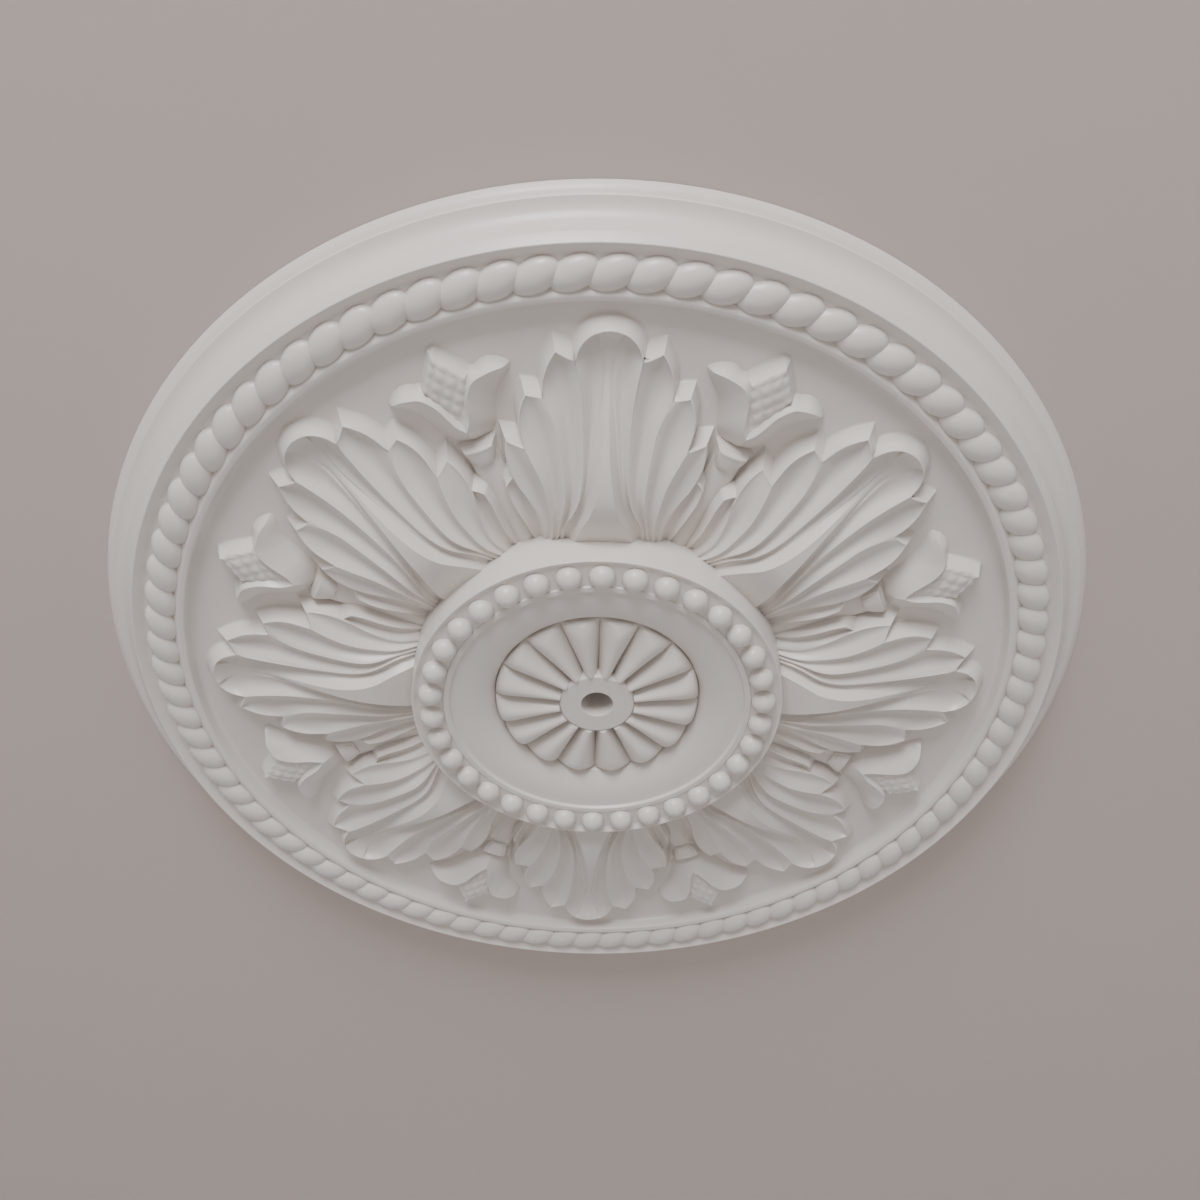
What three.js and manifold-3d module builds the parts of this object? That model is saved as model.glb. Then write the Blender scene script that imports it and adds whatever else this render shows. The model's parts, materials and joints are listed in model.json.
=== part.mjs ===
import * as THREE from 'three';
import { mergeVertices } from 'three/addons/utils/BufferGeometryUtils.js';
import Module from 'manifold-3d';

// Moulded ceiling rose. Lengths are millimetres.
// The flat back lies in the plane z = 0 against the ceiling and the ornament faces down, to -Z.
// One leaf points along -Y. Depths are measured down from the ceiling.

// Overall
const ROSE_DIAMETER = 500;
const LEAF_COUNT = 8;
const CABLE_HOLE_DIAMETER = 16;

// Rim: rounded outer edge, hollow cove, slanting band up to a crest
const EDGE_DEPTH = 5.5;
const EDGE_LEDGE = 4.5;
const COVE_WIDTH = 9.5;
const COVE_DEPTH = 11;
const BAND_WIDTH = 3.7;
const BAND_DEPTH = 4.8;
// Bulge of the edge and bend of the cove, as shares of width and depth from their outer side
const EDGE_BULGE = [0.42, 0.54];
const COVE_BEND = [0.87, 0.16];

// Rope moulding in its channel, and the fillet inside it
const CREST_FALL = 5.2;
const CHANNEL_RECESS = 3.4;
const ROPE_WIDTH = 16.7;
const ROPE_PITCH = 15.7;
const ROPE_HEIGHT = 5.6;
const ROPE_SLANT_DEGREES = 23;
const ROPE_CREASE_SHARE = 0.55;
const FILLET_WIDTH = 3;
const FILLET_WALL_LEAN = 1.4;

// Flat field that carries the leaves and flowers
const FIELD_DEPTH = 14.5;
const LEAF_TIP_CLEARANCE = 10;

// Hub: standing ring with a channel of beads around a hollow dish
const HUB_HEIGHT = 27.4;
const HUB_WALL_LEAN = 1.6;
const HUB_LAND = 0.8;
const BEAD_DIAMETER = 12.5;
const BEAD_PITCH = 15.3;
const BEAD_SIDE_GAP = 0.1;
const BEAD_PROUD = 4.75;
const BEAD_CHANNEL_SINK = 1.45;
const BEAD_CHANNEL_BEVEL = 2.1;
const LIP_WIDTH = 2.9;
const LIP_SINK = 0.7;

// Dish with a rosette of rounded petals and a flat boss in the middle
const DISH_RADIUS = 73.8;
const DISH_HOLLOW = 11;
const PETAL_COUNT = 16;
const ROSETTE_RADIUS = 51.5;
const PETAL_VALLEY_RISE = 1;
const PETAL_CREST_RISE = 9;
const PETAL_END_SHARPNESS = 12;
const BOSS_RADIUS = 19;
const BOSS_RISE = 7.8;
const BOSS_WALL_LEAN = 0.8;

// Leaf: half width, and the height of its highest point above the field
const LEAF_HALF_WIDTH = 44;
const LEAF_RELIEF = 20.7;
const FLUTE_RATIO = 0.36;
const FLUTE_END_SHARPNESS = 18;
const WALL_LEAN_SIDE = 1.8;
const WALL_LEAN_END = 4.2;

// Flower between two leaves
const FLOWER_HALF_WIDTH = 29;
const FLOWER_RELIEF = 10.5;
const BUD_CROWN = 1.8;
const BUD_WALL_LEAN = 2.6;
const STEM_HALF_WIDTH = 7;
const STEM_HEIGHT = 5;
const STEM_HUB_SHARE = 0.7;
const STEM_SIDE_SHARE = 0.6;
const STEM_END_SHARE = 0.5;

// How far ornament is sunk into what carries it, and how finely curves are stepped
const SINK = 2.5;
const RIM_STEPS = 52;
const HUB_STEPS = 4 * PETAL_COUNT;
const HOLE_STEPS = 16;

// Radii worked out from the sizes above, from the outer edge inwards
const roseRadius = ROSE_DIAMETER / 2;
const coveOuterRadius = roseRadius - EDGE_LEDGE;
const bandOuterRadius = coveOuterRadius - COVE_WIDTH;
const crestRadius = bandOuterRadius - BAND_WIDTH;
const coveDepth = EDGE_DEPTH + COVE_DEPTH;
const crestDepth = coveDepth + BAND_DEPTH;
const channelOuterRadius = crestRadius - CREST_FALL;
const channelDepth = crestDepth - CHANNEL_RECESS;
const ropeRadius = channelOuterRadius - ROPE_WIDTH / 2;
const channelInnerRadius = channelOuterRadius - ROPE_WIDTH;
const fieldOuterRadius = channelInnerRadius - FILLET_WIDTH - FILLET_WALL_LEAN;

// Radii of the hub, from the dish outwards
const beadChannelInner = DISH_RADIUS + LIP_WIDTH;
const beadRingRadius = beadChannelInner + BEAD_SIDE_GAP + BEAD_DIAMETER / 2;
const beadChannelOuter = beadRingRadius + BEAD_DIAMETER / 2 + BEAD_SIDE_GAP;
const hubRadius = beadChannelOuter + BEAD_CHANNEL_BEVEL + HUB_LAND;
const hubFootRadius = hubRadius + HUB_WALL_LEAN;
const hubDepth = FIELD_DEPTH + HUB_HEIGHT;
const beadChannelDepth = hubDepth - BEAD_CHANNEL_SINK;
const lipDepth = hubDepth - LIP_SINK;
const dishFloorDepth = lipDepth - DISH_HOLLOW;
const bossDepth = dishFloorDepth + BOSS_RISE;
const leafTipRadius = fieldOuterRadius - LEAF_TIP_CLEARANCE;
const leafSpan = leafTipRadius - hubFootRadius;

// Lobes of the rope keep step with the leaves; beads fill their ring.
const ropeCount = LEAF_COUNT * Math.round((2 * Math.PI * ropeRadius) / (LEAF_COUNT * ROPE_PITCH));
const beadCount = Math.round((2 * Math.PI * beadRingRadius) / BEAD_PITCH);

const wasm = await Module();
wasm.setup();

// Turns a closed three.js geometry into a solid; a geometry that faces inwards is turned round.
function solidOf(geometry) {
  const bare = geometry.clone();
  bare.deleteAttribute('normal');
  bare.deleteAttribute('uv');
  const merged = mergeVertices(bare, 1e-4);
  const positions = merged.attributes.position.array;
  const corners = Array.from(merged.index.array);
  const kept = [];
  for (let i = 0; i < corners.length; i += 3) {
    const [a, b, c] = corners.slice(i, i + 3);
    if (a !== b && b !== c && c !== a) kept.push(a, b, c);
  }
  if (signedVolume(positions, kept) < 0) kept.reverse();
  return new wasm.Manifold(new wasm.Mesh({
    numProp: 3,
    vertProperties: new Float32Array(positions),
    triVerts: new Uint32Array(kept),
  }));
}

function signedVolume(positions, corners) {
  const point = (i) => new THREE.Vector3().fromArray(positions, 3 * i);
  let volume = 0;
  for (let i = 0; i < corners.length; i += 3) {
    const [a, b, c] = [point(corners[i]), point(corners[i + 1]), point(corners[i + 2])];
    volume += a.dot(b.cross(c)) / 6;
  }
  return volume;
}

function geometryOf(vertices, triangles) {
  const geometry = new THREE.BufferGeometry();
  geometry.setAttribute('position', new THREE.Float32BufferAttribute(vertices.flat(), 3));
  geometry.setIndex(triangles.flat());
  return geometry;
}

// Closes a grid of surface points into a solid that reaches down to footDepth inside the body.
// The foot of its side is pushed outwards by lean(point, outward) so that the side has a draft.
function reliefSolid(rows, footDepth, lean) {
  const rowCount = rows.length;
  const columnCount = rows[0].length;
  const ring = [];
  for (let j = 0; j < columnCount; j += 1) ring.push([0, j]);
  for (let i = 1; i < rowCount; i += 1) ring.push([i, columnCount - 1]);
  for (let j = columnCount - 2; j >= 0; j -= 1) ring.push([rowCount - 1, j]);
  for (let i = rowCount - 2; i > 0; i -= 1) ring.push([i, 0]);
  const feet = ring.map((place, k) => {
    const before = rows[ring.at(k - 1)[0]][ring.at(k - 1)[1]];
    const next = ring[(k + 1) % ring.length];
    const here = rows[place[0]][place[1]];
    const after = rows[next[0]][next[1]];
    return leaningFoot(before, here, after, footDepth, lean);
  });
  const vertices = [];
  const top = rows.map((row) => row.map((point) => vertices.push(point) - 1));
  const bottom = rows.map((row) => row.map(([x, y]) => vertices.push([x, y, -footDepth]) - 1));
  ring.forEach(([i, j], k) => {
    vertices[bottom[i][j]] = feet[k];
  });
  const triangles = [];
  for (let i = 0; i + 1 < rowCount; i += 1) {
    for (let j = 0; j + 1 < columnCount; j += 1) {
      addQuad(triangles, top[i][j], top[i][j + 1], top[i + 1][j + 1], top[i + 1][j]);
      addQuad(triangles, bottom[i][j], bottom[i + 1][j], bottom[i + 1][j + 1], bottom[i][j + 1]);
    }
  }
  ring.forEach(([i, j], k) => {
    const [m, n] = ring[(k + 1) % ring.length];
    addQuad(triangles, top[i][j], bottom[i][j], bottom[m][n], top[m][n]);
  });
  return solidOf(geometryOf(vertices, triangles));
}

function addQuad(triangles, a, b, c, d) {
  triangles.push([a, b, c], [a, c, d]);
}

// Foot of one edge point: pushed out square to the outline, mitred at a corner.
function leaningFoot(before, here, after, footDepth, lean) {
  const arriving = new THREE.Vector2(here[0] - before[0], here[1] - before[1]).normalize();
  const leaving = new THREE.Vector2(after[0] - here[0], after[1] - here[1]).normalize();
  const outward = new THREE.Vector2(arriving.y + leaving.y, -arriving.x - leaving.x);
  if (outward.length() < 1e-6) outward.set(arriving.y, -arriving.x);
  outward.normalize();
  const mitre = Math.max(0.45, outward.x * leaving.y - outward.y * leaving.x);
  const reach = lean(here, outward) / mitre;
  return [here[0] + outward.x * reach, here[1] + outward.y * reach, -footDepth];
}

// Leaf carving. Each point is [share of half width, share of span, share of relief].
const CARVED_LINES = {
  axis: [[0, -0.05, 0.56], [0, 0.07, 0.8], [0, 0.18, 0.99], [0, 0.29, 1], [0, 0.415, 0.86],
    [0, 0.56, 0.6], [0, 0.71, 0.3], [0, 0.81, 0.15], [0, 0.93, 0.17], [0, 1, 0.4]],
  ridge: [[0.315, -0.04, 0.56], [0.24, 0.07, 0.8], [0.136, 0.18, 0.99], [0.08, 0.29, 1],
    [0.043, 0.415, 0.86], [0.023, 0.56, 0.6], [0.014, 0.71, 0.3], [0.018, 0.81, 0.15],
    [0.04, 0.93, 0.17], [0.07, 0.996, 0.4]],
  foot: [[0.37, -0.04, 0.42], [0.31, 0.07, 0.58], [0.225, 0.16, 0.67], [0.165, 0.27, 0.7],
    [0.125, 0.4, 0.65], [0.085, 0.55, 0.48], [0.045, 0.71, 0.26], [0.05, 0.81, 0.13],
    [0.1, 0.93, 0.17], [0.145, 0.985, 0.4]],
};
// Crests between the flutes, from the hub to the notches of the outline
const CRESTS = [
  [[0.43, -0.05, 0.4], [0.4, 0.067, 0.65], [0.295, 0.17, 0.79], [0.237, 0.277, 0.79],
    [0.225, 0.424, 0.68], [0.241, 0.63, 0.51], [0.286, 0.785, 0.42], [0.332, 0.86, 0.406]],
  [[0.49, -0.06, 0.4], [0.455, 0.062, 0.62], [0.414, 0.17, 0.8], [0.407, 0.267, 0.8],
    [0.445, 0.414, 0.68], [0.5, 0.55, 0.54], [0.636, 0.685, 0.4]],
  [[0.54, -0.065, 0.38], [0.53, 0.062, 0.62], [0.568, 0.18, 0.69], [0.625, 0.287, 0.7],
    [0.716, 0.38, 0.67], [0.81, 0.462, 0.6]],
  [[0.59, -0.07, 0.33], [0.618, 0.043, 0.48], [0.682, 0.12, 0.53], [0.76, 0.185, 0.555],
    [0.857, 0.25, 0.555]],
  [[0.7, -0.085, 0.17], [0.8, 0.033, 0.43], [0.89, 0.12, 0.53], [0.965, 0.19, 0.555],
    [1.01, 0.256, 0.55]],
];
// Outline of each side lobe between two notches: its tip, and the point that bends its side
const LOBES = [
  { tip: [0.518, 0.897, 0.36], bend: [0.68, 0.8, 0.38] },
  { tip: [0.807, 0.7, 0.41], bend: [0.94, 0.6, 0.48] },
  { tip: [1, 0.482, 0.455], bend: [1.045, 0.37, 0.52] },
];
const LOBE_TIP_SHARE = 0.4;
// Plan of the round end lobe: half width and length as shares
const END_LOBE_HALF_WIDTH = 0.325;
const END_LOBE_LENGTH = 0.14;
// Where the flat top and the side of the midrib end, as shares of the way to the first crest
const RIDGE_SHARE = 0.2;
const FOOT_SHARE = 0.4;

function placed([across, along, rise]) {
  return new THREE.Vector3(
    across * LEAF_HALF_WIDTH,
    hubFootRadius + along * leafSpan,
    -FIELD_DEPTH - rise * LEAF_RELIEF,
  );
}

function curveThrough(points) {
  return new THREE.CatmullRomCurve3(points.map(placed), false, 'catmullrom', 0.5);
}

const carvedCurves = Object.fromEntries(
  Object.entries(CARVED_LINES).map(([name, points]) => [name, curveThrough(points)]),
);
const crestCurves = CRESTS.map(curveThrough);

// Point of a lobe's outline at share s of the way from its first notch to its second.
function lobeEdge(lobe, s) {
  const first = crestCurves[lobe].getPointAt(1);
  const second = crestCurves[lobe + 1].getPointAt(1);
  if (lobe >= LOBES.length) return first.lerp(second, s);
  const tip = placed(LOBES[lobe].tip);
  if (s <= LOBE_TIP_SHARE) return first.lerp(tip, s / LOBE_TIP_SHARE);
  const bend = placed(LOBES[lobe].bend);
  return new THREE.QuadraticBezierCurve3(tip, bend, second)
    .getPoint((s - LOBE_TIP_SHARE) / (1 - LOBE_TIP_SHARE));
}

// Carved surface of half a leaf: u counts the flutes outwards from the axis, v runs from hub to edge.
function leafPoint(u, v) {
  if (u <= 1) return middlePoint(u, v);
  const lobe = Math.min(Math.floor(u), crestCurves.length - 1) - 1;
  const s = u - 1 - lobe;
  const start = crestCurves[lobe].getPointAt(v);
  const end = crestCurves[lobe + 1].getPointAt(v);
  const point = start.clone().lerp(end, s);
  const chord = crestCurves[lobe].getPointAt(1).lerp(crestCurves[lobe + 1].getPointAt(1), s);
  point.addScaledVector(lobeEdge(lobe, s).sub(chord), v ** 3);
  const hollow = FLUTE_RATIO * (end.x - start.x) * 4 * s * (1 - s);
  point.z += hollow * (1 - v ** FLUTE_END_SHARPNESS);
  return point;
}

// Midrib, the flute beside it and half of the round scoop that ends the leaf.
function middlePoint(u, v) {
  const axis = carvedCurves.axis.getPointAt(v);
  const ridge = carvedCurves.ridge.getPointAt(v);
  const foot = carvedCurves.foot.getPointAt(v);
  if (u <= RIDGE_SHARE) return axis.lerp(ridge, u / RIDGE_SHARE);
  if (u <= FOOT_SHARE) return ridge.lerp(foot, (u - RIDGE_SHARE) / (FOOT_SHARE - RIDGE_SHARE));
  const s = (u - FOOT_SHARE) / (1 - FOOT_SHARE);
  const crest = crestCurves[0].getPointAt(v);
  const point = foot.clone().lerp(crest, s);
  const angle = Math.asin(Math.min(1, foot.x / (END_LOBE_HALF_WIDTH * LEAF_HALF_WIDTH)));
  const turn = angle + (Math.PI / 2 - angle) * s;
  const edgeX = END_LOBE_HALF_WIDTH * LEAF_HALF_WIDTH * Math.sin(turn);
  const edgeY = leafTipRadius - END_LOBE_LENGTH * leafSpan * (1 - Math.cos(turn));
  point.x += (edgeX - point.x) * v ** 8;
  point.y += (edgeY - point.y) * v ** 8;
  const hollow = FLUTE_RATIO * (crest.x - foot.x) * 3 * s * (1 - s);
  point.z += hollow * (1 - v ** FLUTE_END_SHARPNESS);
  return point;
}

const LEAF_COLUMNS = [0.2, 0.4, 0.7, 1, 1.4, 2, 2.4, 3, 3.4, 4, 5];
const LEAF_ROWS = [0, 0.28, 0.58, 0.88, 1];

// Sides slope more where they face the rim than where they face a neighbour.
function leafLean(here, outward) {
  const endness = Math.max(0, outward.y);
  return here[1] < hubFootRadius ? 0 : WALL_LEAN_SIDE + (WALL_LEAN_END - WALL_LEAN_SIDE) * endness;
}

function leafSolid() {
  const mirrored = LEAF_COLUMNS.slice().reverse().map((u) => -u);
  const columns = [...mirrored, ...LEAF_COLUMNS];
  const rows = LEAF_ROWS.map((v) => columns.map((u) => {
    const point = leafPoint(Math.abs(u), v);
    return [Math.sign(u) * point.x, point.y, point.z];
  }));
  return reliefSolid(rows, FIELD_DEPTH - SINK, leafLean);
}

// Flower: two petals that part from a point, a scaly bud between them, a collar and a stem.
// Each point is [share of half width, share of span, share of relief].
const FLOWER_LINES = {
  crest: [[0, 0.634, 0.95], [0.165, 0.72, 1], [0.355, 0.828, 1], [0.58, 0.855, 0.92],
    [0.9, 0.843, 0.48], [1, 0.838, -0.02]],
  outer: [[0, 0.69, 0.66], [0.172, 0.79, 0.66], [0.37, 0.889, -0.1], [0.6, 0.9, -0.1],
    [0.91, 0.872, -0.1], [1.01, 0.842, -0.1]],
  inner: [[0, 0.537, -0.1], [0.3, 0.555, -0.1], [0.51, 0.651, -0.1], [0.64, 0.727, -0.1],
    [0.86, 0.79, -0.1], [1.01, 0.836, -0.1]],
};
const BUD_EDGE = [[0.01, 0.65, 0.62], [0.2, 0.75, 0.66], [0.33, 0.865, 0.7],
  [0.17, 0.93, 0.68], [0.01, 0.988, 0.62]];
const COLLAR = { start: 0.44, end: 0.53, startHalfWidth: 0.14, endHalfWidth: 0.24, rise: 0.68 };

function flowerPoint([across, along, rise]) {
  return [
    across * FLOWER_HALF_WIDTH,
    hubFootRadius + along * leafSpan,
    -FIELD_DEPTH - rise * FLOWER_RELIEF,
  ];
}

function mirrorX([x, y, z]) {
  return [-x, y, z];
}

function slightLean(here) {
  return here[1] < hubFootRadius ? 0 : 0.5;
}

function petalsSolid() {
  const lines = [FLOWER_LINES.inner, FLOWER_LINES.crest, FLOWER_LINES.outer];
  const rows = lines.map((line) => {
    const half = line.map(flowerPoint);
    return [...half.slice(1).reverse().map(mirrorX), ...half];
  });
  return reliefSolid(rows, FIELD_DEPTH - SINK, slightLean);
}

function budSolid() {
  const rows = BUD_EDGE.map((edge) => {
    const side = flowerPoint(edge);
    const [, y, z] = side;
    return [mirrorX(side), [0, y, z - BUD_CROWN], side];
  });
  return reliefSolid(rows, FIELD_DEPTH - SINK, () => BUD_WALL_LEAN);
}

function collarSolid() {
  const { start, end, startHalfWidth, endHalfWidth, rise } = COLLAR;
  const rows = [[start, startHalfWidth], [end, endHalfWidth]].map(([along, halfWidth]) => (
    [-halfWidth, halfWidth].map((across) => flowerPoint([across, along, rise]))
  ));
  return reliefSolid(rows, FIELD_DEPTH - SINK, slightLean);
}

function stemSolid() {
  const stemEnd = hubFootRadius + STEM_END_SHARE * leafSpan;
  const sideDepth = FIELD_DEPTH + STEM_SIDE_SHARE * STEM_HEIGHT;
  const topDepth = FIELD_DEPTH + STEM_HEIGHT;
  const rows = [[hubRadius - SINK, STEM_HUB_SHARE], [stemEnd, 1]].map(([along, share]) => {
    const half = share * STEM_HALF_WIDTH;
    return [
      [-half, along, -sideDepth],
      [0, along, -topDepth],
      [half, along, -sideDepth],
    ];
  });
  return reliefSolid(rows, FIELD_DEPTH - SINK, slightLean);
}

// Plain ring of the body, at one radius and depth
function plainRing(radius, depth, steps) {
  return ringPoints(radius, steps, 0, () => depth);
}

// Rounded outer edge and hollow cove, from the back up to the slanting band
function edgeRings() {
  const coveSteps = 2;
  const bulgeRadius = roseRadius - EDGE_BULGE[0] * EDGE_LEDGE;
  const rings = [
    plainRing(roseRadius, 0, RIM_STEPS),
    plainRing(bulgeRadius, EDGE_BULGE[1] * EDGE_DEPTH, RIM_STEPS),
  ];
  for (let i = 0; i <= coveSteps; i += 1) {
    const t = i / coveSteps;
    const [out, down] = COVE_BEND.map((bend) => 2 * t * (1 - t) * bend + t * t);
    rings.push(plainRing(coveOuterRadius - out * COVE_WIDTH, EDGE_DEPTH + down * COVE_DEPTH, RIM_STEPS));
  }
  rings.push(plainRing(crestRadius, crestDepth, RIM_STEPS));
  return rings;
}

// Depth of the rope: across runs from -1 to 1 over its width, along counts the lobes.
function ropeDepth(across, along) {
  const round = Math.sqrt(Math.max(0, 1 - across * across));
  const lobe = Math.abs(Math.sin(Math.PI * (along + 0.5))) ** 0.6;
  return channelDepth + ROPE_HEIGHT * round * (ROPE_CREASE_SHARE + (1 - ROPE_CREASE_SHARE) * lobe);
}

// Rounded lobes that lie aslant along the channel
function ropeRings() {
  const lobeSteps = 2;
  const steps = ropeCount * lobeSteps;
  const slant = Math.tan(THREE.MathUtils.degToRad(ROPE_SLANT_DEGREES));
  return [1, 0.6, -0.6, -1].map((across) => {
    const radius = ropeRadius + (across * ROPE_WIDTH) / 2;
    const twist = (slant * (radius - ropeRadius)) / ropeRadius;
    return ringPoints(radius, steps, twist, (k) => ropeDepth(across, k / lobeSteps));
  });
}

// Fillet inside the rope and the field that carries the leaves
function filletRings() {
  return [
    plainRing(channelInnerRadius, crestDepth, RIM_STEPS),
    plainRing(channelInnerRadius - FILLET_WIDTH, crestDepth, RIM_STEPS),
    plainRing(fieldOuterRadius, FIELD_DEPTH, RIM_STEPS),
  ];
}

// Hub ring, bead channel, lip and hollow dish
function hubRings() {
  const dishRun = DISH_RADIUS - ROSETTE_RADIUS;
  return [
    [hubFootRadius, FIELD_DEPTH],
    [hubRadius, hubDepth],
    [beadChannelOuter + BEAD_CHANNEL_BEVEL, hubDepth],
    [beadChannelOuter, beadChannelDepth],
    [beadChannelInner, beadChannelDepth],
    [beadChannelInner, lipDepth],
    [DISH_RADIUS, lipDepth],
    [DISH_RADIUS - 0.3 * dishRun, lipDepth - 0.75 * DISH_HOLLOW],
  ].map(([radius, depth]) => plainRing(radius, depth, HUB_STEPS));
}

// Depth of the rosette: petals swell from the dish and run in under the boss.
function rosetteDepth(radius, angle) {
  const out = (radius - BOSS_RADIUS) / (ROSETTE_RADIUS - BOSS_RADIUS);
  const swell = Math.sqrt(Math.max(0, 1 - out ** PETAL_END_SHARPNESS));
  const across = Math.abs(Math.sin((PETAL_COUNT * angle) / 2));
  const round = across ** 0.7;
  const rise = PETAL_VALLEY_RISE + (PETAL_CREST_RISE - PETAL_VALLEY_RISE) * round;
  return dishFloorDepth + swell * rise;
}

// Rosette of petals, boss, and the hole that leads back to the ceiling
function rosetteRings() {
  const stepAngle = (2 * Math.PI) / HUB_STEPS;
  const petals = [1, 0.91, 0.5, 0].map((share) => {
    const radius = BOSS_RADIUS + share * (ROSETTE_RADIUS - BOSS_RADIUS);
    return ringPoints(radius, HUB_STEPS, 0, (k) => rosetteDepth(radius, k * stepAngle));
  });
  return [
    ...petals,
    plainRing(BOSS_RADIUS - BOSS_WALL_LEAN, bossDepth, HUB_STEPS),
    plainRing(CABLE_HOLE_DIAMETER / 2, bossDepth, HOLE_STEPS),
    plainRing(CABLE_HOLE_DIAMETER / 2, 0, HOLE_STEPS),
  ];
}

function bodySolid() {
  return ringSolid([
    ...edgeRings(),
    ...ropeRings(),
    ...filletRings(),
    ...hubRings(),
    ...rosetteRings(),
  ]);
}

// Repeats a solid about the axis; the first copy is turned by offset steps.
function around(solid, count, offset) {
  const copies = [];
  for (let k = 0; k < count; k += 1) {
    copies.push(solid.rotate([0, 0, ((k + offset) * 360) / count]));
  }
  return copies;
}

// Ornament is modelled pointing along +Y and is turned to face -Y, where the first leaf lies.
function facingFront(solid) {
  return solid.rotate([0, 0, 180]);
}

// Points of one ring; twist turns it about the axis.
function ringPoints(radius, steps, twist, depthAt) {
  return Array.from({ length: steps }, (_, k) => {
    const angle = (2 * Math.PI * k) / steps + twist;
    return [radius * Math.sin(angle), -radius * Math.cos(angle), -depthAt(k)];
  });
}

// Joins rings one after another, and the last to the first, into a solid.
function ringSolid(rings) {
  const starts = [];
  let count = 0;
  rings.forEach((ring) => {
    starts.push(count);
    count += ring.length;
  });
  const triangles = [];
  rings.forEach((ring, r) => {
    const m = (r + 1) % rings.length;
    joinRings(triangles, ring.length, starts[r], rings[m].length, starts[m]);
  });
  return solidOf(geometryOf(rings.flat(), triangles));
}

// Fills the strip between two rings, whose counts of points may differ.
function joinRings(triangles, hereCount, hereStart, nextCount, nextStart) {
  let i = 0;
  let j = 0;
  while (i < hereCount || j < nextCount) {
    const here = hereStart + (i % hereCount);
    const next = nextStart + (j % nextCount);
    if (j >= nextCount || (i < hereCount && (i + 1) / hereCount <= (j + 1) / nextCount)) {
      triangles.push([here, hereStart + ((i + 1) % hereCount), next]);
      i += 1;
    } else {
      triangles.push([here, nextStart + ((j + 1) % nextCount), next]);
      j += 1;
    }
  }
}

function bead() {
  const geometry = new THREE.SphereGeometry(BEAD_DIAMETER / 2, 6, 4);
  geometry.rotateX(Math.PI / 2);
  geometry.translate(0, beadRingRadius, -(hubDepth + BEAD_PROUD - BEAD_DIAMETER / 2));
  return solidOf(geometry);
}

const pieces = [
  bodySolid(),
  ...around(facingFront(leafSolid()), LEAF_COUNT, 0),
  ...around(facingFront(petalsSolid()), LEAF_COUNT, 0.5),
  ...around(facingFront(budSolid()), LEAF_COUNT, 0.5),
  ...around(facingFront(collarSolid()), LEAF_COUNT, 0.5),
  ...around(facingFront(stemSolid()), LEAF_COUNT, 0.5),
  ...around(facingFront(bead()), beadCount, 0),
];
const moulding = wasm.Manifold.union(pieces);

// Reads the joined surface back as one mesh.
function meshGeometry(solid) {
  const { numProp, vertProperties, triVerts } = solid.getMesh();
  const positions = [];
  for (let i = 0; i < vertProperties.length; i += numProp) {
    positions.push(vertProperties[i], vertProperties[i + 1], vertProperties[i + 2]);
  }
  const geometry = new THREE.BufferGeometry();
  geometry.setAttribute('position', new THREE.Float32BufferAttribute(positions, 3));
  geometry.setIndex(Array.from(triVerts));
  geometry.computeVertexNormals();
  return geometry;
}

const paintedMoulding = new THREE.MeshStandardMaterial({
  name: 'white_moulding',
  color: 0xe9e5e1,
  roughness: 0.62,
  metalness: 0,
});

const rose = new THREE.Group();
const roseMesh = new THREE.Mesh(meshGeometry(moulding), paintedMoulding);
roseMesh.name = 'ceiling_rose';
rose.add(roseMesh);

export default rose;
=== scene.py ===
import json
import logging
import math
from dataclasses import dataclass, field
from enum import Enum

import bpy
import numpy as np
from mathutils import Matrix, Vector

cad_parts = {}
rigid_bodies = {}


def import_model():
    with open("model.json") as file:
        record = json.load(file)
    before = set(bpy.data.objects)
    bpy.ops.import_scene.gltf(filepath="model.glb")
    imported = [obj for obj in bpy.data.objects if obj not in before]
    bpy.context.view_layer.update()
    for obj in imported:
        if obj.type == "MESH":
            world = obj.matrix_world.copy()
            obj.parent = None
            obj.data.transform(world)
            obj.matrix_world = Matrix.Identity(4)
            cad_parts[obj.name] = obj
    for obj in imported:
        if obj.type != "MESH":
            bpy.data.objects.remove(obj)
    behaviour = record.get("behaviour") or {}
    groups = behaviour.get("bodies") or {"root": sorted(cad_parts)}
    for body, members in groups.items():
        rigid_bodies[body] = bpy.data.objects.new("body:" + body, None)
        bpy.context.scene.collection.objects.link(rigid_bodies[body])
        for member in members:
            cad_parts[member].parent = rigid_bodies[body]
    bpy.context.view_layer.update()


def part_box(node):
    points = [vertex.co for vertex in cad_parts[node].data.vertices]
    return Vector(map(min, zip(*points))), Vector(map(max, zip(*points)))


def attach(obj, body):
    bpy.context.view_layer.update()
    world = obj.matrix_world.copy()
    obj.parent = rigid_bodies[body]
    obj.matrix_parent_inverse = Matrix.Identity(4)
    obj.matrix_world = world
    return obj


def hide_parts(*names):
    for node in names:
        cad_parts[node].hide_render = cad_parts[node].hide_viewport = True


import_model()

log = logging.getLogger("ceiling_rose")

# A point of carving: share of half width, share of span, share of relief
Share = tuple[float, float, float]


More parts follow.
